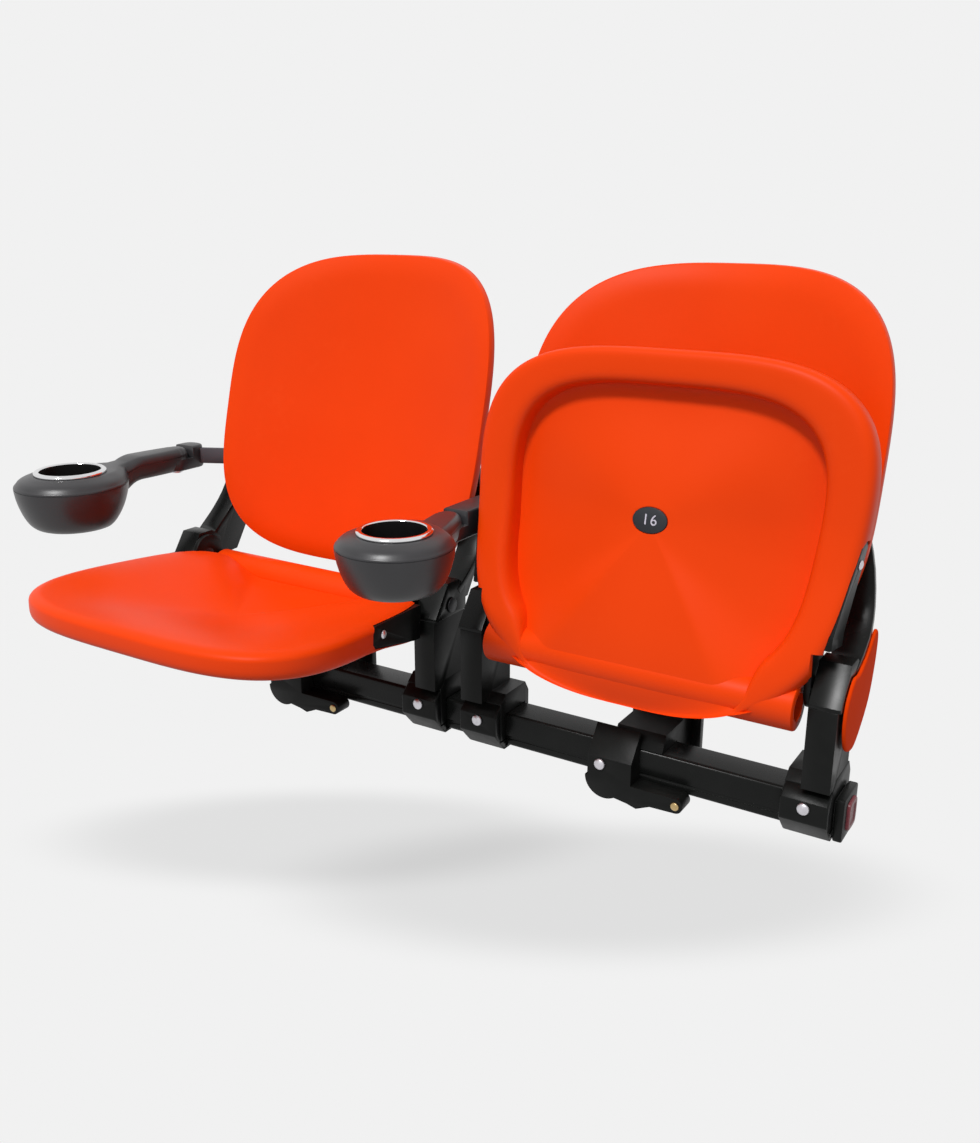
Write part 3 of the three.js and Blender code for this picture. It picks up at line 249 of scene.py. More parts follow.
finishes = {
    "orange": {
        "dark": (0.78, 0.046, 0.001), "light": (0.85, 0.057, 0.002),
        "rough": 0.36, "roughSpread": 0.1, "specular": 0.08,
        "grainScale": 1100, "waveScale": 7, "waveShare": 0.15, "bump": 0.22, "depth": 0.0003,
        "scuff": 0.05, "scuffScale": 90, "dust": 0.006, "wornColour": (0.93, 0.11, 0.02),
    },
    # painted shade: the end lids take the orange plastic made a little darker, also rougher and with little
    # sheen
    "shadedLid": {
        "dark": (0.76, 0.044, 0.001), "light": (0.83, 0.055, 0.002),
        "rough": 0.75, "roughSpread": 0.1, "specular": 0.02,
        "grainScale": 1100, "waveScale": 7, "waveShare": 0.15, "bump": 0.22, "depth": 0.0003,
        "scuff": 0.05, "scuffScale": 90, "dust": 0.006, "wornColour": (0.93, 0.11, 0.02),
    },
    "steel": {
        "dark": (0.003, 0.0034, 0.0032), "light": (0.006, 0.0065, 0.006),
        "rough": 0.2, "roughSpread": 0.14, "specular": 0.16,
        "grainScale": 420, "waveScale": 40, "waveShare": 0.5, "bump": 0.12, "depth": 0.0003,
        "scuff": 0.1, "scuffScale": 70, "dust": 0.008, "wornColour": (0.02, 0.02, 0.02),
    },
    "casting": {
        "dark": (0.003, 0.0034, 0.0032), "light": (0.0065, 0.007, 0.0065),
        "rough": 0.3, "roughSpread": 0.18, "specular": 0.14,
        "grainScale": 520, "waveScale": 60, "waveShare": 0.35, "bump": 0.35, "depth": 0.0004,
        "scuff": 0.14, "scuffScale": 55, "dust": 0.012, "wornColour": (0.02, 0.02, 0.02),
    },
    "zinc": {
        "dark": (0.5, 0.49, 0.52), "light": (0.72, 0.7, 0.74),
        "rough": 0.24, "roughSpread": 0.2, "metal": 1,
        "grainScale": 700, "waveScale": 160, "waveShare": 0.5, "bump": 0.2,
        "scuff": 0.3, "dust": 0.05,
    },
    "pin": {
        "dark": (0.02, 0.02, 0.022), "light": (0.04, 0.04, 0.042), "rough": 0.4, "metal": 0.6,
        "grainScale": 500, "waveScale": 90, "bump": 0.2,
        "scuff": 0.2, "dust": 0.02, "wornColour": (0.1, 0.1, 0.1),
    },
    "weight": {
        "dark": (0.16, 0.16, 0.16), "light": (0.26, 0.26, 0.25), "rough": 0.45, "metal": 1,
        "grainScale": 400, "waveScale": 80, "bump": 0.3, "scuff": 0.3, "dust": 0.05,
    },
    "brass": {
        "dark": (0.42, 0.3, 0.13), "light": (0.62, 0.46, 0.24), "rough": 0.26, "metal": 1,
        "grainScale": 700, "waveScale": 160, "bump": 0.2, "scuff": 0.3, "dust": 0.05,
    },
    "chrome": {
        "dark": (0.7, 0.7, 0.71), "light": (0.84, 0.84, 0.85),
        "rough": 0.06, "roughSpread": 0.08, "metal": 1,
        "grainScale": 500, "waveScale": 50, "bump": 0.03, "scuff": 0.1, "dust": 0.01,
    },
    "linerInside": {
        "dark": (0.002, 0.002, 0.002), "light": (0.005, 0.005, 0.005),
        "rough": 0.4, "specular": 0.1,
        "grainScale": 500, "waveScale": 50, "bump": 0.1,
        "scuff": 0.05, "dust": 0.004, "wornColour": (0.02, 0.02, 0.02),
    },
    "armrest": {
        "dark": (0.016, 0.0155, 0.0175), "light": (0.028, 0.027, 0.03),
        "rough": 0.3, "roughSpread": 0.12, "specular": 0.5,
        "grainScale": 620, "waveScale": 24, "waveShare": 0.25, "bump": 0.28, "depth": 0.0003,
        "scuff": 0.08, "dust": 0.015, "wornColour": (0.05, 0.05, 0.055),
    },
    "bar": {
        "dark": (0.082, 0.078, 0.088), "light": (0.1, 0.095, 0.108), "rough": 0.5, "specular": 0.15,
        "grainScale": 500, "waveScale": 50, "bump": 0.2,
        "scuff": 0.15, "dust": 0.01, "wornColour": (0.16, 0.16, 0.17),
    },
    "disc": {
        "dark": (0.014, 0.017, 0.021), "light": (0.024, 0.028, 0.034),
        "rough": 0.42, "specular": 0.3,
        "grainScale": 800, "waveScale": 60, "bump": 0.2, "scuff": 0.1, "dust": 0.01,
    },
    "digits": {
        "dark": (0.5, 0.47, 0.56), "light": (0.62, 0.6, 0.68), "rough": 0.5,
        "grainScale": 800, "waveScale": 90, "bump": 0.1, "scuff": 0.1, "dust": 0.02,
    },
    "plug": {
        "dark": (0.09, 0.008, 0.014), "light": (0.2, 0.03, 0.04), "rough": 0.35,
        "grainScale": 700, "waveScale": 90, "bump": 0.3,
        "scuff": 0.3, "dust": 0.03, "wornColour": (0.4, 0.2, 0.2),
    },
}
materials = {name: finish(name, look) for name, look in finishes.items()}
print("materials made:", len(materials))


def meshPiece(name, verts, faces, material, body):
    mesh = bpy.data.meshes.new(name)
    mesh.from_pydata([tuple(v) for v in verts], [], faces)
    mesh.update()
    mesh.polygons.foreach_set("use_smooth", [True] * len(mesh.polygons))
    mesh.materials.append(materials[material])
    piece = bpy.data.objects.new(name, mesh)
    bpy.context.scene.collection.objects.link(piece)
    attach(piece, body)
    return piece


def loftMesh(rings, flip=False):
    # rings of points joined in turn, closed by a middle point at each end
    count = len(rings[0])
    verts = [point for ring in rings for point in ring]
    faces = []
    for r in range(len(rings) - 1):
        for k in range(count):
            a, b = r * count + k, r * count + (k + 1) % count
            faces.append((a, b, b + count, a + count))
    for r, turned in ((0, True), (len(rings) - 1, False)):
        middle = sum((Vector(p) for p in rings[r]), Vector()) / count
        verts.append(middle)
        for k in range(count):
            a, b = r * count + k, r * count + (k + 1) % count
            faces.append((a, len(verts) - 1, b) if turned else (a, b, len(verts) - 1))
    if flip:
        faces = [tuple(reversed(face)) for face in faces]
    return verts, faces


def carve(piece, cutters):
    # cuts pockets into a piece, then clears the cutting solids away
    for cutter in cutters:
        step = piece.modifiers.new("pocket", "BOOLEAN")
        step.object = cutter
        step.solver = "EXACT"
    bpy.context.view_layer.update()
    made = bpy.data.meshes.new_from_object(piece.evaluated_get(bpy.context.evaluated_depsgraph_get()))
    piece.modifiers.clear()
    old = piece.data
    made.name = old.name
    piece.data = made
    bpy.data.meshes.remove(old)
    for cutter in cutters:
        bpy.data.objects.remove(cutter)


def cutterBetween(nearRing, farRing):
    # a cutting solid between two outlines with the same number of points
    count = len(nearRing)
    faces = [tuple(range(count)), tuple(reversed(range(count, 2 * count)))]
    for k in range(count):
        j = (k + 1) % count
        faces.append((k, k + count, j + count, j))
    mesh = bpy.data.meshes.new("cutter")
    mesh.from_pydata([tuple(v) for v in nearRing + farRing], [], faces)
    work = bmesh.new()
    work.from_mesh(mesh)
    bmesh.ops.recalc_face_normals(work, faces=work.faces)
    work.to_mesh(mesh)
    work.free()
    cutter = bpy.data.objects.new("cutter", mesh)
    bpy.context.scene.collection.objects.link(cutter)
    return cutter


def prism(outline, x0, x1, place):
    # an outline in (ahead, up), given thickness along X
    return cutterBetween([place(x0, a, u) for a, u in outline], [place(x1, a, u) for a, u in outline])


def oval(centreA, centreU, halfA, halfU, count=48):
    turns = [2 * math.pi * k / count for k in range(count)]
    return [(centreA + halfA * math.cos(turn), centreU + halfU * math.sin(turn)) for turn in turns]


def circle(centreA, centreU, radius, count=48):
    return oval(centreA, centreU, radius, radius, count)


def smoothBetween(a, b, c, d, f):
    # a share f of the way from b to c, on a smooth line through a, b, c and d
    return b + 0.5 * f * (c - a + f * (2 * a - 5 * b + 4 * c - d + f * (3 * b - a - 3 * c + d)))


def inwardOf(outline):
    # for each point of a closed line, the direction to its inner side
    found = []
    for k in range(len(outline)):
        (ax, ay), (bx, by) = outline[k - 1], outline[(k + 1) % len(outline)]
        length = math.hypot(bx - ax, by - ay)
        found.append((-(by - ay) / length, (bx - ax) / length))
    return found


def sharpen(piece, angle=32):
    piece.data.set_sharp_from_angle(angle=math.radians(angle))


panLook = {
    "width": 474, "rear": -51.4, "front": 334, "cornerPower": 3.6, "around": 176,
    "rearTaper": 0.14, "rearBulge": 12, "rearBulgeShare": 0.6,
    "sideRim": 9.4, "frontRim": 4, "rearRim": -20, "rearRimShare": 0.45, "dish": 24, "dishSpread": 0.93,
    "wall": 6, "rollFloor": -28, "rollPower": 4.2, "rollWidth": 0.21, "thinRoll": 0.02,
    "rollEnd": 0.55, "rollStart": 0.88, "edgeDrop": 10, "crease": 40,
    "sag": 22, "sagStart": 0.12, "sagSpread": 0.95, "heel": 20,
}
barrelLook = {
    "ahead": -24.4, "below": -23.7, "radius": 26, "halfLength": 187.5, "bore": 15.5,
    "round": 2, "roundMiddle": 0.6,
}
# the room for a hinge arm and for the standard's head and stem beside it
pocketLook = {
    "free": 1, "hub": 190.5, "hubRadius": 27, "hubHeelShare": 0.6, "plate": 208, "splay": 7, "far": 240,
    "stem": 197.7, "headClear": 44, "stemFront": 38, "stemRear": 34, "stemDepth": 62,
    "jogStart": 43, "jogEnd": 57, "reach": 158, "top": 6, "tipBottom": -21, "rootBottom": -37, "nose": 7,
}
discSeat = {"ahead": 147, "halfWidth": 21.2, "halfHeight": 15.2, "top": -28.2, "depth": 30}


def panPoint(side):
    angle = math.radians(panAngle[side])

    def place(x, ahead, up):
        y = hinge["y"] - ahead * math.cos(angle) + up * math.sin(angle)
        z = hinge["z"] + ahead * math.sin(angle) + up * math.cos(angle)
        return beamPoint(seatX[side] + x, y, z)

    return place


def panPlace(angle, share, look):
    # a direction round the outline and a share of the way out to it
    u = signedPower(math.cos(angle), 2 / look["cornerPower"])
    v = signedPower(math.sin(angle), 2 / look["cornerPower"])
    taper = 1 - look["rearTaper"] * ((1 - share * v) / 2) ** 2
    bulge = look["rearBulge"] * share * clamped(1 - (u / look["rearBulgeShare"]) ** 2) if v < 0 else 0
    fall = eased((1 - abs(u)) / look["rearRimShare"])
    if v > 0:
        rim = look["sideRim"] + (look["frontRim"] - look["sideRim"]) * v * v
        kept = 1
    else:
        rim = look["sideRim"] + (look["rearRim"] - look["sideRim"]) * fall
        kept = eased((abs(u) - look["rollEnd"]) / (look["rollStart"] - look["rollEnd"]))
    return {
        "share": share, "rim": rim, "along": share * v, "x": share * u * taper * look["width"] / 2,
        "ahead": look["rear"] + (look["front"] - look["rear"]) * (share * v + 1) / 2 - bulge,
        "rollShare": max(look["rollWidth"] * kept, look["thinRoll"]),
    }


def panTop(at, look):
    dished = -look["dish"] + (at["rim"] + look["dish"]) * eased(at["share"] / look["dishSpread"])
    edge = clamped((at["share"] - look["dishSpread"]) / (1 - look["dishSpread"]))
    return dished - look["edgeDrop"] * (1 - math.sqrt(1 - edge * edge))


def panSag(at, look):
    start = barrelLook["ahead"]
    heel = clamped((start - at["ahead"]) / (start - look["rear"] + look["rearBulge"]))
    lift = look["heel"] * (1 - math.sqrt(1 - heel * heel))
    return look["sag"] * eased((look["sagStart"] - at["along"]) / look["sagSpread"]) - lift


def panRoll(at, across, look):
    edge = at["rim"] - look["edgeDrop"]
    floor = min(look["rollFloor"] - panSag(at, look), edge)
    power = look["rollPower"]
    return edge + (floor - edge) * (1 - abs(across) ** power) ** (1 / power)


def panUnder(at, look):
    return panTop(at, look) - look["wall"] - max(0, panSag(at, look))


def panRings(look, place):
    angles = [2 * math.pi * (k + 0.5) / look["around"] for k in range(look["around"])]
    topShares = [0.05, 0.14, 0.25, 0.36, 0.47, 0.57, 0.66, 0.74, 0.81, 0.87, 0.91, 0.93,
                 0.945, 0.96, 0.973, 0.984, 0.992, 0.998, 1]
    rollSteps = [0.995, 0.98, 0.94, 0.87, 0.77, 0.64, 0.48, 0.3, 0.1, -0.1, -0.3, -0.48, -0.64, -0.77,
                 -0.87, -0.94, -0.98, -1]
    dishShares = [0.97, 0.93, 0.86, 0.77, 0.67, 0.56, 0.45, 0.34, 0.23, 0.13, 0.05]
    rings = []
    for share in topShares:
        spots = [panPlace(angle, share, look) for angle in angles]
        rings.append([place(at["x"], at["ahead"], panTop(at, look)) for at in spots])
    edges = [panPlace(angle, 1, look)["rollShare"] for angle in angles]
    for across in rollSteps:
        spots = [panPlace(a, 1 - width * (1 - across) / 2, look) for a, width in zip(angles, edges)]
        rings.append([
            place(at["x"], at["ahead"], min(panRoll(at, across, look), panUnder(at, look))) for at in spots
        ])
    for inward in dishShares:
        spots = [panPlace(a, inward * (1 - width), look) for a, width in zip(angles, edges)]
        rings.append([place(at["x"], at["ahead"], panUnder(at, look)) for at in spots])
    return rings


def pocketCutters(place):
    look, free = pocketLook, pocketLook["free"]
    top, foot, tip = look["top"] + free, look["rootBottom"] - free, look["tipBottom"]
    start, end, reach, nose = look["jogStart"], look["jogEnd"], look["reach"], look["nose"]
    splay, far, stem = math.radians(look["splay"]), look["far"], look["stem"]
    plate = [
        (start - free, top), (start - free, foot), (end, foot), (reach - nose, tip - free),
        (reach + free, tip + nose), (reach + free, look["top"] - nose), (reach - nose, top),
    ]
    jog = [(start - free, top), (start - free, foot), (end + free, foot), (end + free, top)]
    hub = [
        (-look["hubHeelShare"] * look["hubRadius"], top), (end + free, top), (end + free, foot),
        (start, foot), (0, -look["hubRadius"]),
    ]
    column = [
        (-look["stemRear"], 0), (look["stemFront"], 0),
        (look["stemFront"], -look["stemDepth"]), (-look["stemRear"], -look["stemDepth"]),
    ]
    cutters = []
    for hand in (-1, 1):
        def sided(x, ahead, up, hand=hand):
            return place(hand * x, ahead, up)

        def splayed(x, ahead, up, hand=hand):
            out, back = x - look["plate"], end - ahead
            turnedOut = out * math.cos(splay) - back * math.sin(splay)
            turnedBack = out * math.sin(splay) + back * math.cos(splay)
            return place(hand * (look["plate"] + turnedOut), end - turnedBack, up)

        cutters.append(prism(plate, look["plate"] - free, far, splayed))
        cutters.append(prism(hub, look["hub"] - free, far, sided))
        cutters.append(prism(jog, look["hub"] - free, far, sided))
        cutters.append(prism(circle(0, 0, look["hubRadius"] + free), look["hub"] - free, far, sided))
        cutters.append(prism(circle(0, 0, look["headClear"]), stem, far, sided))
        cutters.append(prism(column, stem, far, sided))
    seat = discSeat
    rim = oval(0, seat["ahead"], seat["halfWidth"], seat["halfHeight"])
    floor = seat["top"] - seat["depth"]
    near, deep = ([place(x, a, up) for x, a in rim] for up in (seat["top"], floor))
    cutters.append(cutterBetween(near, deep))
    return cutters


def panPieces(side):
    place = panPoint(side)
    verts, faces = loftMesh(panRings(panLook, place))
    shell = meshPiece(f"panShell_{side}", verts, faces, "orange", f"pan_{side}")
    carve(shell, pocketCutters(place))
    sharpen(shell, panLook["crease"])
    look = barrelLook
    half, radius, soft, part = look["halfLength"], look["radius"], look["round"], look["roundMiddle"]
    stations = [
        (-half, look["bore"]), (-half, radius - soft), (-half + part, radius - part), (-half + soft, radius),
        (half - soft, radius), (half - part, radius - part), (half, radius - soft), (half, look["bore"]),
    ]
    rings = [[place(x, a, u) for a, u in circle(look["ahead"], look["below"], r)] for x, r in stations]
    count = len(rings[0])
    faces = []
    for r in range(len(rings)):
        s = (r + 1) % len(rings)
        for k in range(count):
            j = (k + 1) % count
            faces.append((r * count + k, r * count + j, s * count + j, s * count + k))
    points = [point for ring in rings for point in ring]
    barrel = meshPiece(f"panBarrel_{side}", points, faces, "orange", f"pan_{side}")
    sharpen(barrel)
    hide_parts(f"seat_pan_{side}")


for side in seatX:
    panPieces(side)
print("pans made")


backLook = {
    "width": 442, "height": 439, "lean": 15.7, "centreY": 128.4, "centreZ": 371.8, "cornerPower": 3.2,
    "wrap": 59, "wall": 5, "flange": 14, "flangeWall": 6, "edgeRoll": 6, "edgeRollShare": 0.14, "around": 176,
    "flangeRound": 1.5, "crease": 50,
    "frontShares": [
        0.06, 0.16, 0.28, 0.4, 0.52, 0.62, 0.7, 0.77, 0.83, 0.86, 0.89, 0.92,
        0.945, 0.965, 0.98, 0.991, 0.997,
    ],
    "rearShares": [0.965, 0.92, 0.86, 0.77, 0.7, 0.6, 0.48, 0.35, 0.2, 0.08],
}


def backRing(share, outAt, look, side):
    lean = math.radians(look["lean"])
    ring = []
    for k in range(look["around"]):
        angle = 2 * math.pi * (k + 0.5) / look["around"]
        u = share * signedPower(math.cos(angle), 2 / look["cornerPower"])
        v = share * signedPower(math.sin(angle), 2 / look["cornerPower"])
        y = look["centreY"] + v * look["height"] * math.sin(lean) / 2 - look["wrap"] * u * u + outAt(share)
        z = look["centreZ"] + v * look["height"] * math.cos(lean) / 2
        ring.append(beamPoint(seatX[side] + u * look["width"] / 2, y, z))
    return ring


def backPieces(side):
    look = backLook

    def face(share):
        edge = clamped((share - 1 + look["edgeRollShare"]) / look["edgeRollShare"])
        return look["edgeRoll"] * edge * edge

    inner = 1 - 2 * look["flangeWall"] / look["width"]
    soft, flange, wall = look["flangeRound"], look["flange"], look["wall"]
    rings = [backRing(share, face, look, side) for share in look["frontShares"]]
    lip = [
        (1, soft), (1, flange - soft), (0.997, flange),
        (inner + 0.003, flange), (inner, flange - soft), (inner, wall + soft),
    ]
    for share, out in lip + [(share, wall) for share in look["rearShares"]]:
        rings.append(backRing(share, lambda at, out=out: face(at) + out, look, side))
    verts, faces = loftMesh(rings, flip=True)
    shell = meshPiece(f"backShell_{side}", verts, faces, "orange", "frame")
    sharpen(shell, look["crease"])
    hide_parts(f"seat_back_{side}")


for side in seatX:
    backPieces(side)
print("backs made")


nodeFinish = {
    "seat_pan": "orange", "seat_back": "orange", "end_cover": "orange",
    "beam_end_cap": "casting", "beam": "steel", "back_arm": "steel",
    "standard": "casting", "clamp_jaw": "casting", "hinge_arm": "casting",
    "wall_bracket": "casting", "bracket_hook": "casting",
    "clamp_bolt": "zinc", "pivot_pin": "pin", "arm_bolt": "zinc", "hook_bolt": "zinc", "swing_pin": "zinc",
    "tongue_bolt": "brass", "balance_weight": "weight", "cup_liner": "chrome",
    "armrest_bar": "bar", "armrest_arm": "armrest", "cup_holder": "armrest", "number_disc": "disc",
}
edgeWidth = {
    "beam": 0.9, "beam_end_cap": 1, "back_arm": 1.6, "standard": 1.8, "clamp_jaw": 1.8, "hinge_arm": 1.6,
    "wall_bracket": 1.4, "bracket_hook": 1.8, "armrest_bar": 0.8, "armrest_arm": 0.8, "cup_holder": 0.8,
    "end_cover": 0.6, "number_disc": 0.4, "cup_liner": 0.3,
}


weldDistance = 0.00002
smallEdge = 0.3
edgeAngle = 28


def kindOf(name, table):
    fits = [kind for kind in table if name.startswith(kind)]
    return max(fits, key=len) if fits else None


for name, node in nodes.items():
    node.data.materials.clear()
    node.data.materials.append(materials[nodeFinish[kindOf(name, nodeFinish)]])
    node.data.polygons.foreach_set("use_smooth", [True] * len(node.data.polygons))
    weld = node.modifiers.new("weld", "WELD")
    weld.merge_threshold = weldDistance
    kind = kindOf(name, edgeWidth)
    bevel = node.modifiers.new("softEdges", "BEVEL")
    bevel.width = edgeWidth.get(kind, smallEdge) * mm
    bevel.segments = 2
    bevel.limit_method = "ANGLE"
    bevel.angle_limit = math.radians(edgeAngle)
    bevel.harden_normals = True
print("nodes finished")


# a liner is chromed at its ring and dark inside
ringDepth = 5.2
for name, node in nodes.items():
    if not name.startswith("cup_liner"):
        continue
    node.data.materials.append(materials["linerInside"])
    levels = [(node.matrix_world @ point.co).z for point in node.data.vertices]
    heights = [min(levels[k] for k in face.vertices) for face in node.data.polygons]
    limit = max(levels) - ringDepth * mm
    for face, height in zip(node.data.polygons, heights):
        face.material_index = 1 if height < limit else 0


armrestLook = {
    "endRadius": 18, "middleHalf": 23, "middleAt": 105, "reach": 174, "cupRadius": 64, "neck": 30,
    "lift": 0.85, "recessRadius": 37.5, "recessDepth": 50, "height": 34, "lap": 17, "lapRadius": 24,
    "lapFree": 0.3, "cutAbove": 8, "cutBelow": 4, "stations": 96, "between": 4, "crease": 38,
}
# the seam between the halves: how far along the levels, and how far sunk
seamSteps = [(0.02, 0.7), (0.09, 0.7), (0.11, 0)]
# how far below the top and inside the outline, at the cup and at the arm, level by level
armrestLevels = [
    (0, 21, 0, 10), (1, 17, 1, 6), (5, 7, 4, 2.5), (10, 2, 8, 0.5), (14, 0, 12, 0),
    (29, 2, 20, 0.7), (45, 7, 27, 2.5), (56, 13, 32, 5.5), (62, 20, 33.5, 8), (64, 28, 34, 11),
]
seamLevel = 4
rests = {
    "left": {"x": -545, "pinY": 33, "angle": -6.5, "top": 305, "rise": -8, "size": 1.18},
    "middle": {"x": 0, "pinY": -46, "angle": 16, "top": 298, "rise": 23, "size": 1},
}


def levelBetween(t):
    # a smooth line through the levels
    last = len(armrestLevels) - 1
    k = min(int(t), last - 1)
    f = t - k
    p0, p1 = armrestLevels[max(k - 1, 0)], armrestLevels[k]
    p2, p3 = armrestLevels[k + 1], armrestLevels[min(k + 2, last)]
    return [max(0, smoothBetween(a, b, c, d, f)) for a, b, c, d in zip(p0, p1, p2, p3)]


def armrestHalf(fromCup, radius, look):
    cup = math.sqrt(max(0, radius ** 2 - fromCup ** 2))
    if fromCup <= 0:
        return cup
    past = fromCup - look["reach"]
    if past > 0:
        return math.sqrt(max(0, look["endRadius"] ** 2 - past ** 2))
    spread = (fromCup - look["middleAt"]) / (look["reach"] - look["middleAt"])
    arm = look["middleHalf"] - (look["middleHalf"] - look["endRadius"]) * spread ** 2
    gap = max(0, look["neck"] - abs(cup - arm))
    return max(cup, arm) + gap * gap * clamped(fromCup / look["neck"]) / (4 * look["neck"])


def armrestPiece(name):
    look, rest = armrestLook, rests[name]
    radius = look["cupRadius"] * rest["size"]
    turn = math.radians(rest["angle"])

    def place(x, y, z):
        return beamPoint(
            rest["x"] + x * math.cos(turn) - y * math.sin(turn),
            rest["pinY"] + x * math.sin(turn) + y * math.cos(turn),
            rest["top"] + z,
        )

    rear = look["reach"] + look["endRadius"]
    steps = look["stations"]
    middle, half = (rear - radius) / 2, (rear + radius) / 2
    line = [middle - half * math.cos(math.pi * k / steps) for k in range(steps + 1)]
    outline = [(armrestHalf(s, radius, look), s) for s in line]
    outline += [(-w, s) for w, s in reversed(outline[1:-1])]
    count = len(outline)
    inward = inwardOf(outline)
    liftAt = radius * look["lift"]

    def ring(level, sunk=0):
        cupDown, cupIn, armDown, armIn = level
        points = []
        for (x, s), (nx, ny) in zip(outline, inward):
            toArm = eased((s - look["neck"]) / look["cupRadius"])
            lifted = rest["rise"] * (1 - eased((s - liftAt) / (look["middleAt"] - liftAt)))
            inside = cupIn * rest["size"] * (1 - toArm) + armIn * toArm + sunk
            down = cupDown * rest["size"] * (1 - toArm) + armDown * toArm
            points.append(place(x + nx * inside, s + ny * inside - look["reach"], lifted - down))
        return points

    rings = []
    total = (len(armrestLevels) - 1) * look["between"]
    for k in range(total, -1, -1):
        t = k / look["between"]
        rings.append(ring(levelBetween(t)))
        if t == seamLevel:
            rings += [ring(levelBetween(t - step), sunk) for step, sunk in seamSteps]
    verts = [point for points in rings for point in points]
    faces = []
    for r in range(len(rings) - 1):
        for k in range(count):
            a, b = r * count + k, r * count + (k + 1) % count
            faces.append((a, b, b + count, a + count))
    top = (len(rings) - 1) * count
    for k in range(steps):
        loop = [k, k + 1, count - k - 1, (count - k) % count]
        loop = list(dict.fromkeys(v % count for v in loop))
        faces.append(tuple(reversed(loop)))
        faces.append(tuple(top + v for v in loop))
    body = meshPiece(f"cupHolder_{name}", verts, faces, "armrest", f"cup_{name}")
    room = circle(0, -look["reach"], look["recessRadius"] * rest["size"], 96)
    lap = circle(0, 0, look["lapRadius"], 64)
    floor = rest["rise"] - look["recessDepth"] * rest["size"]
    cuts = [
        (room, floor, rest["rise"] + look["cutAbove"]),
        (lap, -look["height"] - look["cutBelow"], -look["lap"] + look["lapFree"]),
    ]
    carve(body, [
        cutterBetween([place(x, y, low) for x, y in rim], [place(x, y, high) for x, y in rim])
        for rim, low, high in cuts
    ])
    sharpen(body, look["crease"])
    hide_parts(f"cup_holder_{name}")


for name in rests:
    armrestPiece(name)
print("armrests made")


digitsLook = {"text": "16", "size": 17, "thickness": 0.25, "spacing": 1.15, "ahead": 147, "seat": -31.3}


def numberPiece(side):
    look, place = digitsLook, panPoint(side)
    curve = bpy.data.curves.new(f"seatNumber_{side}", "FONT")
    curve.body = look["text"]
    curve.size = look["size"] * mm
    curve.extrude = look["thickness"] * mm
    curve.align_x = "CENTER"
    curve.align_y = "CENTER"
    curve.space_character = look["spacing"]
    digits = bpy.data.objects.new(f"seatNumber_{side}", curve)
    bpy.context.scene.collection.objects.link(digits)
    # text reads from below the pan, upright when the pan is up
    right = place(1, 0, 0) - place(0, 0, 0)
    upward = place(0, 1, 0) - place(0, 0, 0)
    outward = place(0, 0, -1) - place(0, 0, 0)
    origin = place(0, look["ahead"], look["seat"])
    digits.matrix_world = Matrix((
        (right.x / mm, upward.x / mm, outward.x / mm, origin.x),
        (right.y / mm, upward.y / mm, outward.y / mm, origin.y),
        (right.z / mm, upward.z / mm, outward.z / mm, origin.z),
        (0, 0, 0, 1),
    ))
    curve.materials.append(materials["digits"])
    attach(digits, f"pan_{side}")


for side in seatX:
    numberPiece(side)


# the insert of each end cap: how far out of the cap, and how far inside its outline
plugLook = {
    "depth": 30, "height": 34, "start": 492.3, "middle": 21.5, "around": 48, "squareness": 0.4,
    "stations": [(-1, 0), (2.5, 0), (3.5, 1.2), (3.5, 5), (2.3, 6.5)],
}


def plugPiece(side, sign):
    look = plugLook
    rings = []
    for out, inset in look["stations"]:
        ring = []
        for k in range(look["around"]):
            angle = 2 * math.pi * (k + 0.5) / look["around"]
            y = signedPower(math.cos(angle), look["squareness"]) * (look["depth"] / 2 - inset)
            z = signedPower(math.sin(angle), look["squareness"]) * (look["height"] / 2 - inset)
            ring.append(beamPoint(sign * (look["start"] + out), y, look["middle"] + z))
        rings.append(ring)
    verts, faces = loftMesh(rings, flip=sign < 0)
    plug = meshPiece(f"endPlug_{side}", verts, faces, "plug", "frame")
    sharpen(plug)


plugPiece("left", -1)
plugPiece("right", 1)


# the lid over each outermost head: its outline back from the beam's middle and up
coverLook = {
    "outline": [
        (-36, 161), (-17, 181.5), (4, 182), (27, 192), (45, 206), (57, 213), (66, 210), (70, 196),
        (67, 168), (56, 137), (34, 113), (3, 95.5), (-26, 106), (-39, 134),
    ],
    "between": 8,
    # how far out from the seat's middle, and how far inside the outline
    "stations": [(233.6, 0.6), (234, 0.1), (235.4, 0), (236.5, 0.7), (237.2, 1.9), (237.4, 3.6)],
}


def coverPiece(side, sign):
    corners, between = coverLook["outline"], coverLook["between"]
    line = []
    for k in range(len(corners)):
        a, b, c, d = (corners[(k + step) % len(corners)] for step in (-1, 0, 1, 2))
        for f in (step / between for step in range(between)):
            line.append(tuple(smoothBetween(*places, f) for places in zip(a, b, c, d)))
    inward = inwardOf(line)
    rings = [
        [
            beamPoint(seatX[side] + sign * out, y - toY * inset, z - toZ * inset)
            for (y, z), (toY, toZ) in zip(line, inward)
        ]
        for out, inset in coverLook["stations"]
    ]
    verts, faces = loftMesh(rings, flip=sign > 0)
    # the lid wears the darker orange, which is painted shade
    shadedLid = meshPiece(f"endLid_{side}", verts, faces, "shadedLid", "frame")
    sharpen(shadedLid)
    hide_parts(f"end_cover_{side}")


coverPiece("left", -1)
coverPiece("right", 1)


# a round-headed screw behind each strap; its socket is sunk in the head
screwLook = {
    "x": 193, "y": 91, "z": 318, "lean": 12, "face": 4.6, "around": 32,
    # how far out from the strap, and the radius there
    "stations": [
        (-4, 3.3), (-0.2, 3.3), (0, 8.6), (0.5, 9), (1.4, 9), (2.8, 7.2), (3.5, 4.4), (3.5, 3), (1.4, 2.8),
    ],
}


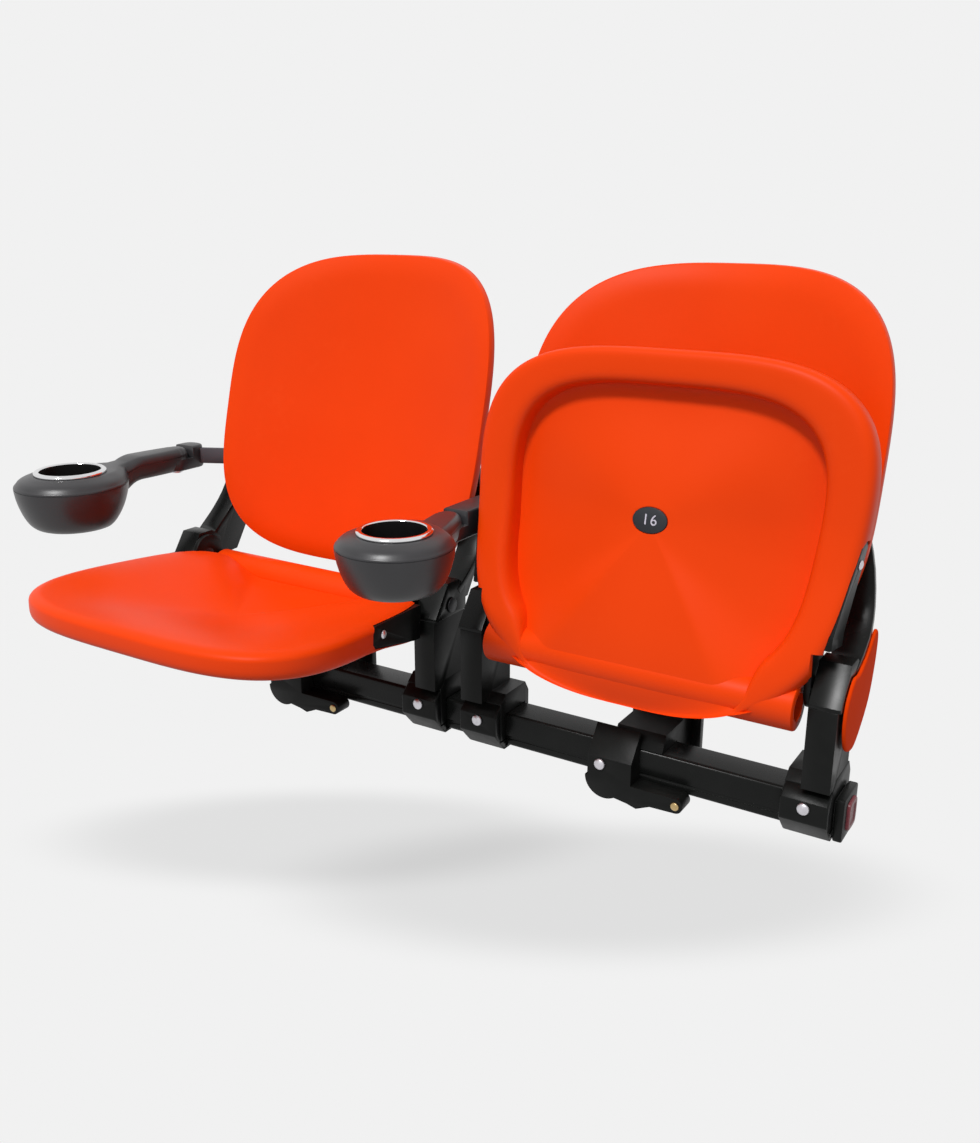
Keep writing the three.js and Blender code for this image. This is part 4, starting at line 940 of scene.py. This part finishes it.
def screwPiece(side, hand):
    look = screwLook
    lean = math.radians(look["lean"])
    rings = []
    for out, radius in look["stations"]:
        ring = []
        for across, up in circle(0, 0, radius, look["around"]):
            x = seatX[side] + hand * look["x"] + across
            back = (look["face"] + out) * math.cos(lean) + up * math.sin(lean)
            rise = up * math.cos(lean) - (look["face"] + out) * math.sin(lean)
            ring.append(beamPoint(x, look["y"] + back, look["z"] + rise))
        rings.append(ring)
    verts, faces = loftMesh(rings, flip=True)
    name = f"strapScrew_{side}_{'right' if hand > 0 else 'left'}"
    screw = meshPiece(name, verts, faces, "zinc", "frame")
    sharpen(screw)


for side in seatX:
    screwPiece(side, -1)
    screwPiece(side, 1)
print("small pieces made")


studio = {
    "floorZ": -0.36, "floorSize": 30, "pale": 0.8796, "skyLight": 0.62, "groundLight": 0.26,
    "sun": 2.35, "sunAngle": 13, "sunTilt": (30, -14, 20),
}
# faint shadows on the paper: middle, half sizes and depth of each
shadows = [((-0.362, 0.035), (0.55, 0.19), 0.15), ((0.092, 0.15), (0.6, 0.23), 0.16)]


def buildFloor():
    bpy.ops.mesh.primitive_plane_add(size=studio["floorSize"], location=(0, 0, studio["floorZ"]))
    floor = bpy.context.object
    floor.name = "floor"
    material = bpy.data.materials.new("floorPaper")
    material.use_nodes = True
    n, link = material.node_tree.nodes, material.node_tree.links.new
    n.remove(n["Principled BSDF"])
    place = n.new("ShaderNodeTexCoord")
    glow = n.new("ShaderNodeEmission")
    glow.inputs["Strength"].default_value = studio["pale"]
    paper = noiseNode(n, scale=3)
    link(place.outputs["Object"], paper.inputs["Vector"])
    shade = rangeNode(n, low=0.998, high=1.002)
    link(paper.outputs["Fac"], shade.inputs["Value"])
    value = shade.outputs[0]
    for (x, y), (wide, deep), depth in shadows:
        spot = n.new("ShaderNodeMapping")
        spot.vector_type = "TEXTURE"
        spot.inputs["Location"].default_value = (x, y, 0)
        spot.inputs["Rotation"].default_value = (0, 0, math.radians(32))
        spot.inputs["Scale"].default_value = (wide, deep, 1)
        far = n.new("ShaderNodeVectorMath")
        far.operation = "LENGTH"
        soft = rangeNode(n, start=0.45, low=1 - depth, high=1)
        soft.interpolation_type = "SMOOTHERSTEP"
        both = mathNode(n, "MULTIPLY")
        link(place.outputs["Object"], spot.inputs["Vector"])
        link(spot.outputs["Vector"], far.inputs[0])
        link(far.outputs["Value"], soft.inputs["Value"])
        link(value, both.inputs[0])
        link(soft.outputs[0], both.inputs[1])
        value = both.outputs[0]
    link(value, glow.inputs["Color"])
    link(glow.outputs[0], n["Material Output"].inputs["Surface"])
    floor.data.materials.append(material)
    floor.visible_diffuse = False


def buildWorld():
    world = bpy.data.worlds.new("studio")
    bpy.context.scene.world = world
    world.use_nodes = True
    n, link = world.node_tree.nodes, world.node_tree.links.new
    n.clear()
    output = n.new("ShaderNodeOutputWorld")
    rays = n.new("ShaderNodeLightPath")
    seen = mathNode(n, "MAXIMUM")
    seenToo = mathNode(n, "MAXIMUM")
    # the room is lit more from above than from below
    plain = n.new("ShaderNodeBackground")
    place = n.new("ShaderNodeTexCoord")
    split = n.new("ShaderNodeSeparateXYZ")
    level = rangeNode(n, start=-0.6, end=0.6, low=studio["groundLight"], high=studio["skyLight"])
    link(place.outputs["Generated"], split.inputs[0])
    link(split.outputs["Z"], level.inputs["Value"])
    link(level.outputs[0], plain.inputs["Strength"])
    pale = n.new("ShaderNodeBackground")
    pale.inputs["Strength"].default_value = studio["pale"]
    mix = n.new("ShaderNodeMixShader")
    for shade in (plain, pale):
        shade.inputs["Color"].default_value = (1, 1, 1, 1)
    link(rays.outputs["Is Camera Ray"], seen.inputs[0])
    link(rays.outputs["Is Transmission Ray"], seen.inputs[1])
    link(seen.outputs[0], seenToo.inputs[0])
    link(rays.outputs["Is Glossy Ray"], seenToo.inputs[1])
    link(seenToo.outputs[0], mix.inputs[0])
    link(plain.outputs[0], mix.inputs[1])
    link(pale.outputs[0], mix.inputs[2])
    link(mix.outputs[0], output.inputs["Surface"])


def buildLamps():
    sun = bpy.data.lights.new("keyLight", "SUN")
    sun.energy = studio["sun"]
    sun.angle = math.radians(studio["sunAngle"])
    lamp = bpy.data.objects.new("keyLight", sun)
    lamp.rotation_euler = [math.radians(a) for a in studio["sunTilt"]]
    bpy.context.scene.collection.objects.link(lamp)


cameraLook = {
    "place": (731.19, -1117.69, 642.10), "turn": 32.0066, "down": 17.858,
    "focalPixels": 1119.62, "imageHeight": 1143,
}


def buildCamera():
    look = cameraLook
    data = bpy.data.cameras.new("photoCamera")
    data.sensor_fit = "VERTICAL"
    data.sensor_height = 36
    data.lens = look["focalPixels"] * 36 / look["imageHeight"]
    camera = bpy.data.objects.new("photoCamera", data)
    camera.location = beamPoint(*look["place"])
    camera.rotation_euler = (math.radians(90 - look["down"]), 0, math.radians(look["turn"]))
    bpy.context.scene.collection.objects.link(camera)
    bpy.context.scene.camera = camera


buildFloor()
buildWorld()
buildLamps()
buildCamera()
bpy.context.scene.view_settings.view_transform = "Standard"
bpy.context.view_layer.update()
print("studio made")
